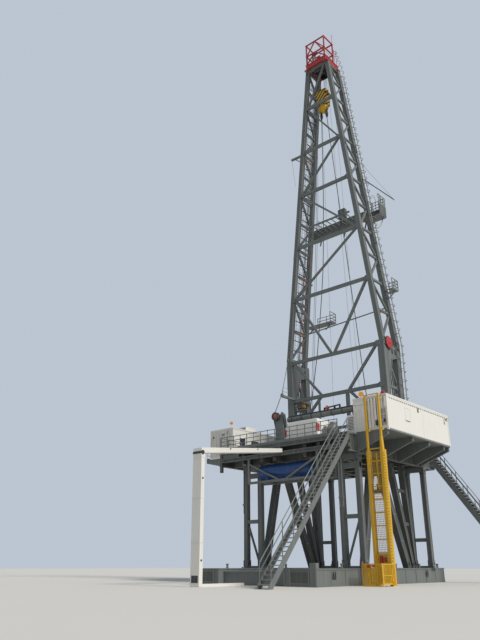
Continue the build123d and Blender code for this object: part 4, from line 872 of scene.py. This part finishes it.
def cabin_trim():
    """Ribbed walls, posts, corner castings, windows and equipment of both cabins."""
    orange = Shape("horns", "orange")
    white = Shape("cabin_trim", "white_paint")
    dark = Shape("cabin_vents", "dark_steel")
    glass = Shape("cabin_glass", "window_glass")
    leaf = Shape("door_leaf_trim", "white_paint", body="driller_cabin_door")
    inset = 0.016875
    for x0, x1, y0, y1, roof_ribs in ((2.8, 4.2, -3.8, 1.35, 11), (-5.55, -4.15, -2.9, 1.6, 10)):
        for x in (x0 + inset, x1 - inset):
            for y in (y0 + inset, y1 - inset):
                white.post(x, y, 0.028125, 0.028125, 5.265, 6.495)
                for z in (5.21, 6.475):
                    white.post(x, y, 0.032125, 0.032125, z, z + 0.07)
        white.row(roof_ribs, (0, 0.45, 0), x0 + 0.02, y0 + 0.18, 6.544, x1 - 0.02, y0 + 0.22, 6.555)
    white.corrugated((3.36, -3.8, 5.33), (0.52, 0, 0), 1.1, REARWARDS, 0.13, 0.022)
    white.corrugated((3.9, -3.8, 6.06), (0.26, 0, 0), 0.37, REARWARDS, 0.13, 0.022)
    for x, y, along, out in ((-5.5, -2.9, (1.3, 0, 0), REARWARDS), (-5.55, -2.85, (0, 4.4, 0), (-1, 0, 0)),
                             (-5.5, 1.6, (1.3, 0, 0), ALONG_Y), (-4.15, -1.95, (0, 2.5, 0), ALONG_X)):
        white.corrugated((x, y, 5.33), along, 1.1, out, 0.1, 0.012)
    white.wall("x", 4.199, 4.21, (-3.76, 5.285, 1.31, 5.335), (-3.76, 6.44, 1.31, 6.49))
    white.box(4.199, -0.968, 5.33, 4.206, -0.944, 6.44)
    white.wall("x", 4.199, 4.208, (-2.43, 5.76, -2.03, 5.78), (-2.43, 6.24, -2.03, 6.26), (-2.43, 5.76, -2.41, 6.24),
               (-2.03, 5.76, -2.01, 6.26))
    dark.row(30, (0, 0.165, 0), 4.2, -3.6, 6.395, 4.206, -3.52, 6.42)
    dark.box(4.199, -2.4, 5.735, 4.212, -2.08, 5.75)
    dark.row(6, (0, 0, 0.03), 4.2, -1.4, 6.23, 4.208, -1.27, 6.245)
    dark.row(9, (0, 0, 0.055), 2.52, -3.806, 5.4, 2.76, -3.8, 5.422)
    white.wall("y", -3.81, -3.799, (2.5, 5.34, 2.515, 5.92), (2.765, 5.34, 2.78, 5.92))
    dark.wall("y", -3.83, -3.799, (3.7, 5.4, 3.82, 5.6), (4.04, 5.5, 4.11, 5.62))
    for x in (3.935, 4.05):
        for z in (5.4, 5.61, 5.82):
            dark.row(6, (0, 0, 0.03), x, -3.806, z, x + 0.09, -3.8, z + 0.011)
    white.wall("y", -3.812, -3.799, *((x, 5.38, x + 0.015, 6.02) for x in (3.91, 4.03, 4.145)),
               *((3.91, z, 4.16, z + 0.018) for z in (5.365, 5.58, 5.79, 6.0)))
    low, high = 5.75, 6.21
    for y in (-1.75, -1.03, -0.31, 0.41):
        glass.box(2.815, y, low, 2.823, y + 0.62, high)
        white.wall("x", 2.79, 2.802, *rim(y, low, y + 0.62, high))
    glass.box(3.0, 1.325, low, 4.0, 1.333, high)
    white.wall("y", 1.349, 1.36, *rim(3.0, low, 4.0, high), (3.49, low, 3.51, high))
    glass.box(-4.173, -2.45, 5.77, -4.167, -2.05, 6.12)
    white.wall("x", -4.151, -4.14, *rim(-2.45, 5.77, -2.05, 6.12), *jambs(0.7))
    door = 2.88
    white.wall("y", -3.806, -3.799, *jambs(door))
    for x, z in ((-5.35, 6.2), (-4.75, 6.28)):
        dark.turned((x, -2.9, z), REARWARDS, ((0, 0.04), (0.03, 0.045), (0.04, 0.03)), 14)
    dark.box(-4.151, -1.62, 5.72, -4.06, -1.2, 6.08)
    white.box(-5.2, -1.6, 6.54, -4.5, -0.9, 6.82)
    dark.row(8, (0.08, 0, 0), -5.15, -1.607, 6.58, -5.11, -1.599, 6.78)
    for x, y, z, size in ((-4.3, -2.8, 6.72, 1.0), (3.06, -3.6, 6.66, 1.35)):
        white.tube([(x, y, 6.54), (x, y, z)], 0.015)
        horn = [(d * size, q * size) for d, q in ((0, 0.025), (0.06, 0.03), (0.12, 0.075), (0.125, 0.075))]
        orange.turned((x, y, z), (0.5, -1, 0.2), horn, 18)
    leaf.box(door + 0.05, -3.806, 5.33, door + 0.37, -3.799, 6.2)
    x = door + 0.36
    leaf.tube([(x, -3.8, 5.72), (x, -3.835, 5.74), (x, -3.835, 5.86), (x, -3.8, 5.88)], 0.008)
    leaf.row(3, (0.09, 0, 0), door + 0.08, -3.818, 5.38, door + 0.115, -3.805, 6.16)


def machine_trim():
    """Panels, lids and drives of the drawworks, the line anchor's drum and a red siren on the cabin."""
    cool = Shape("motor_fins", "galvanised")
    # The drawworks' trim takes the lighter copy of the white: painted light
    white = Shape("drawworks_trim", "white_with_painted_light")
    dark = Shape("machine_fittings", "dark_steel")
    red = Shape("red_fittings", "red_paint")
    for x in (-0.05, 0.61, 1.27):
        white.box(x - 0.008, -4.158, 5.3, x + 0.008, -4.149, 5.95)
        white.post(x, -3.6, 0.012, 0.55, 5.97, 5.985)
    for z in (5.29, 5.93):
        white.box(-0.16, -4.162, z, 1.34, -4.149, z + 0.025)
    white.row(10, (0, 0, 0.055), -0.16, -4.158, 5.36, 1.3, -4.149, 5.37)
    for x in (0.1, 1.2):
        for y in (-4.0, -3.2):
            dark.tube([(x + dx, y, z) for dx, z in ((-0.05, 5.975), (-0.05, 6.03), (0.05, 6.03), (0.05, 5.975))], 0.012)
    red.box(1.349, -4.13, 5.5, 1.362, -4.0, 5.78)
    red.wall("y", -4.158, -4.149, (1.3, 5.5, 1.36, 5.78), (-0.2, 5.42, -0.13, 5.7))
    red.turned((1.1, -3.3, 5.97), UP, ((0, 0.1), (0.05, 0.1), (0.07, 0.07)), 16)
    for c, s in arc(16, 22.5):
        y, z = -3.6 + 0.222 * c, 5.54 + 0.222 * s
        cool.bar((1.6, y, z), (1.82, y, z), 0.014, 0.02, (0, c, s))
    cool.turned((1.84, -3.6, 5.54), ALONG_X, ((0, 0.2), (0.02, 0.2), (0.05, 0.16), (0.06, 0.08)))
    cool.box(1.62, -3.7, 5.75, 1.78, -3.5, 5.85)
    for x in (-0.7, -0.21):
        dark.bar((x, -3.9, 5.3), (x, -4.2, 6.3), 0.03, 0.16)
    for y in (-4.24, -4.36):
        dark.turned((-0.55, y, 6.28), REARWARDS, ((-0.012, 0.14), (-0.012, 0.17), (0.008, 0.17), (0.008, 0.14)), 32)
    red.turned((-0.55, -4.36, 6.28), REARWARDS, ((0, 0.08), (0.012, 0.08), (0.02, 0.06), (0.035, 0.03)), 20)
    red.turned((0.95, -2.85, 6.66), ALONG_X, ((0, 0.07), (0.02, 0.1), (0.05, 0.1), (0.07, 0.07), (0.12, 0.05)), 20)
    dark.tube([(0.85, -2.85, 6.66), (1.62, -2.85, 6.7)], 0.03, 10)
    dark.tube([(-0.95, -2.93, 6.545), (2.35, -2.93, 6.545)], 0.022)
    for i in range(7):
        dark.turned((-0.75 + i * 0.5, -2.85, 6.425), ALONG_X,
                    ((-0.02, 0.118), (-0.02, 0.132), (0.02, 0.132), (0.02, 0.118)), 28)
    for x in (0.86, 1.35, 1.6):
        dark.post(x, -2.85, 0.02, 0.04, 6.52, 6.68)
    red.turned((4.0, -3.62, 6.6), REARWARDS, ((0, 0.09), (0.03, 0.11), (0.06, 0.07)), 18)


def lift_trim():
    """The lift's posts, rack, mesh, drive and car, its gate and its fence."""
    posts = Shape("lift_posts", "yellow_paint", stands_for=("lift_tower",))
    tower = Shape("lift_tower_trim", "yellow_paint")
    dark = Shape("lift_rack", "dark_steel")
    cage = Shape("lift_cage", "yellow_paint", body="lift_car", stands_for=("lift_car",))
    car = Shape("lift_car_mesh", "yellow_paint", body="lift_car")
    red = Shape("lift_controls", "red_paint", body="lift_car")
    gate = Shape("gate_bars", "yellow_paint", body="lift_gate")
    fence = Shape("fence_mesh", "yellow_paint")
    signal = Shape("fence_lamp", "red_paint")
    dark.row(41, (0, 0, 0.1), 4.034, -4.02, 0.35, 4.038, -3.98, 0.4)
    dark.row(18, (0, 0, 0.17), 4.034, -4.05, 1.4, 4.039, -4.03, 1.48)
    for side, x in ((-1, 3.375), (1, 4.035)):
        for y in (-4.055, -3.935):
            tower.strip((x, y, 0.02), (x, y, 4.48), 0.012, 0.01, (side, 0, 0))
    step = 4.5
    posts.box(3.375, -4.06, 0, 3.46, -3.875, step)
    posts.box(3.925, -4.075, 0, 4.035, -3.815, step)
    for x0, x1 in ((3.39, 3.45), (3.95, 4.01)):
        posts.box(x0, -4.04, step, x1, -3.95, 6.55)
        posts.box(x0, -4.0, 5.21, x1, -3.8, 5.27)
    outline = ((3.93, step), (4.035, step), (4.01, 4.95), (3.95, 4.95))
    posts.prism([(x, -4.06, z) for x, z in outline], [(x, -3.93, z) for x, z in outline])
    posts.tube([(3.42, -3.995, 6.54), (3.98, -3.995, 6.54)], 0.022, 10)
    posts.row(10, (0, 0, 0.44), 3.42, -3.955, 0.58, 3.98, -3.925, 0.62)
    tower.row(8, (0.055, 0, 0), 3.5, -3.945, 0.6, 3.511, -3.94, 4.45)
    tower.row(55, (0, 0, 0.07), 3.47, -3.945, 0.65, 3.92, -3.94, 0.661)
    tower.box(3.66, -3.94, 3.2, 3.72, -3.9, 4.4)
    dark.box(3.5, -3.94, 3.0, 3.88, -3.88, 3.14)
    dark.turned((3.62, -3.86, 3.14), UP, ((0, 0.05), (0.16, 0.05), (0.2, 0.03)), 14)
    x0, x1 = 3.476, 3.919
    y0, y1 = -4.575, -3.961
    back, rail = 1.0, 0.66
    cage.box(x0, y0, 0.08, x1, y1, 0.12)
    cage.box(x0, y1 - 0.03, 0.12, x1, y1, back)
    cage.row(4, (0, 0, 0.24), x0 + 0.03, y1 - 0.045, 0.2, x1 - 0.03, y1 - 0.03, 0.23)
    for x in (x0, x1 - 0.03):
        cage.box(x, y0, 0.12, x + 0.03, y0 + 0.03, rail)
        cage.box(x, y1 - 0.08, 0.12, x + 0.03, y1 - 0.03, back)
    for z in (0.35, rail - 0.03):
        cage.box(x0, y0 + 0.03, z, x0 + 0.03, y1 - 0.08, z + 0.03)
        cage.box(x0 + 0.03, y0, z, x1 - 0.03, y0 + 0.03, z + 0.03)
    for z in (0.2, back - 0.08):
        cage.box(3.4705, y1 - 0.06, z, x0, y1, z + 0.06)
        cage.box(x1, y1 - 0.06, z, 3.9245, y1, z + 0.06)
    car.row(11, (0, 0.054, 0), x0 + 0.01, y0 + 0.04, 0.13, x0 + 0.016, y0 + 0.045, 0.64)
    car.row(8, (0.05, 0, 0), x0 + 0.04, y0 + 0.01, 0.13, x0 + 0.045, y0 + 0.016, 0.62)
    car.row(5, (0, 0, 0.11), x0 + 0.01, y0 + 0.03, 0.16, x0 + 0.016, y1 - 0.04, 0.165)
    car.row(5, (0, 0, 0.11), x0 + 0.03, y0 + 0.01, 0.16, x1 - 0.03, y0 + 0.016, 0.165)
    car.grating((x0 + 0.01, y0 + 0.01, 0.118), (x1 - 0.01, y1 - 0.05), 0.05, 0.004, 0.008)
    red.box(x0 + 0.1, y1 - 0.06, 0.7, x0 + 0.22, y1 - 0.028, 0.95)
    red.box(x0 + 0.26, y1 - 0.05, 0.75, x0 + 0.34, y1 - 0.028, 0.9)
    gate.row(13, (0, 0.0435, 0), 4.04, -4.655, 0.06, 4.052, -4.643, 0.665)
    gate.box(4.038, -4.67, 0.33, 4.054, -4.11, 0.35)
    gate.tube([(4.058, -4.63, 0.42), (4.075, -4.63, 0.43), (4.075, -4.63, 0.52), (4.058, -4.63, 0.53)], 0.006, 6)
    fence.row(13, (0, 0, 0.047), 3.3, -4.742, 0.08, 4.045, -4.738, 0.084)
    fence.row(13, (0, 0, 0.047), 3.298, -4.74, 0.08, 3.302, -3.94, 0.084)
    fence.row(16, (0.045, 0, 0), 3.32, -4.748, 0.04, 3.332, -4.736, 0.67)
    for x in (3.3, 4.045):
        fence.turned((x, -4.74, 0.69), UP, ((0, 0.02), (0.02, 0.022), (0.03, 0.01)), 10)
    signal.box(3.5, -4.765, 0.57, 3.62, -4.752, 0.66)
    signal.box(3.7, -4.765, 0.6, 3.8, -4.752, 0.65)
    signal.turned((3.32, -4.74, 0.7), UP, ((0, 0.03), (0.05, 0.03), (0.07, 0.015)), 12)


def trough_trim():
    """Seams, brackets and hinge pins of the folding cable trough."""
    white = Shape("trough_trim", "white_paint")
    dark = Shape("trough_pins", "dark_steel")
    x0, x1 = -0.61, -0.21
    y0 = -8.85
    for z in (0.02, 1.35, 2.75, 4.1):
        white.box(x0 - 0.008, y0 - 0.008, z, x1 + 0.008, y0 + 0.168, z + 0.03)
    white.row(15, (0, 0, 0.27), x0 - 0.02, y0 + 0.02, 0.25, x0, y0 + 0.06, 0.3)
    for z in (0.8, 3.4):
        dark.turned((x1, y0 + 0.08, z), ALONG_X, ((0, 0.03), (0.02, 0.03), (0.03, 0.02)), 12)
    dark.turned((x0 - 0.03, y0 + 0.06, 4.26), ALONG_X, ((0, 0.06), (0.02, 0.075), (0.44, 0.075), (0.46, 0.06)), 18)
    for share in (0.3, 0.65):
        y, z = y0 + 0.16 + 4.34 * share, 4.4 + 0.5 * share
        dark.turned((x1, y, z), ALONG_X, ((0, 0.025), (0.02, 0.025), (0.03, 0.015)), 12)
    dark.box(x0 + 0.05, y0 - 0.004, 0.12, x1 - 0.05, y0 + 0.001, 0.34)


for build in (mast_legs, mast_nodes, leg_webs, mast_shoes, ladder_cage, crown_fittings, block_fittings, ropes, boards,
              lamps, base_trim, leg_trim, floor_trim, tank_trim, stair_trim, cabin_trim, machine_trim, lift_trim,
              trough_trim):
    build()
pieces = {shape.name: shape.made() for shape in Shape.every}
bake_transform(pieces["drill_ropes"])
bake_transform(pieces["hung_lines"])


def camera():
    """The camera at the photograph's place and angle."""
    data = bpy.data.cameras.new("camera")
    data.lens = CAMERA_LENS
    data.sensor_width = 36
    data.clip_end = 300
    cam = bpy.data.objects.new("camera", data)
    cam.location = (MID_X + CAMERA_ASIDE, REAR_Y - CAMERA_BACK, CAMERA_HEIGHT)
    cam.rotation_euler = (math.radians(90 + CAMERA_PITCH), 0, math.radians(CAMERA_YAW))
    bpy.context.scene.collection.objects.link(cam)
    bpy.context.scene.camera = cam


def light():
    """A soft sun from the driller's side and an even pale sky."""
    data = bpy.data.lights.new("sun", "SUN")
    data.energy = 3.0
    data.angle = math.radians(14)
    data.color = (1.0, 0.97, 0.92)
    sun = bpy.data.objects.new("sun", data)
    sun.rotation_euler = Vector((1.0, -0.06, 0.95)).to_track_quat("Z", "Y").to_euler()
    bpy.context.scene.collection.objects.link(sun)
    world = bpy.data.worlds.new("sky")
    bpy.context.scene.world = world
    world.use_nodes = True
    tree = world.node_tree
    back = tree.nodes["Background"]
    path = tree.nodes.new("ShaderNodeLightPath")
    mix = tree.nodes.new("ShaderNodeMix")
    mix.data_type = "RGBA"
    mix.inputs[6].default_value = (0.36, 0.40, 0.45, 1)
    mix.inputs[7].default_value = (0.50, 0.56, 0.64, 1)
    tree.links.new(path.outputs["Is Camera Ray"], mix.inputs["Factor"])
    tree.links.new(mix.outputs[2], back.inputs["Color"])


def ground():
    """The plain pale floor under the rig."""
    mesh = bpy.data.meshes.new("floor")
    size = 120
    mesh.from_pydata([(-size, -size, 0), (size, -size, 0), (size, size, 0), (-size, size, 0)], [], [(0, 1, 2, 3)])
    floor = bpy.data.objects.new("floor", mesh)
    mesh.materials.append(paint("floor_pale", (0.60, 0.58, 0.54), 0.9, vary=0.02, dirt=0.0, scale=0.2))
    bpy.context.scene.collection.objects.link(floor)


camera()
light()
ground()
bpy.context.scene.view_settings.view_transform = "Standard"
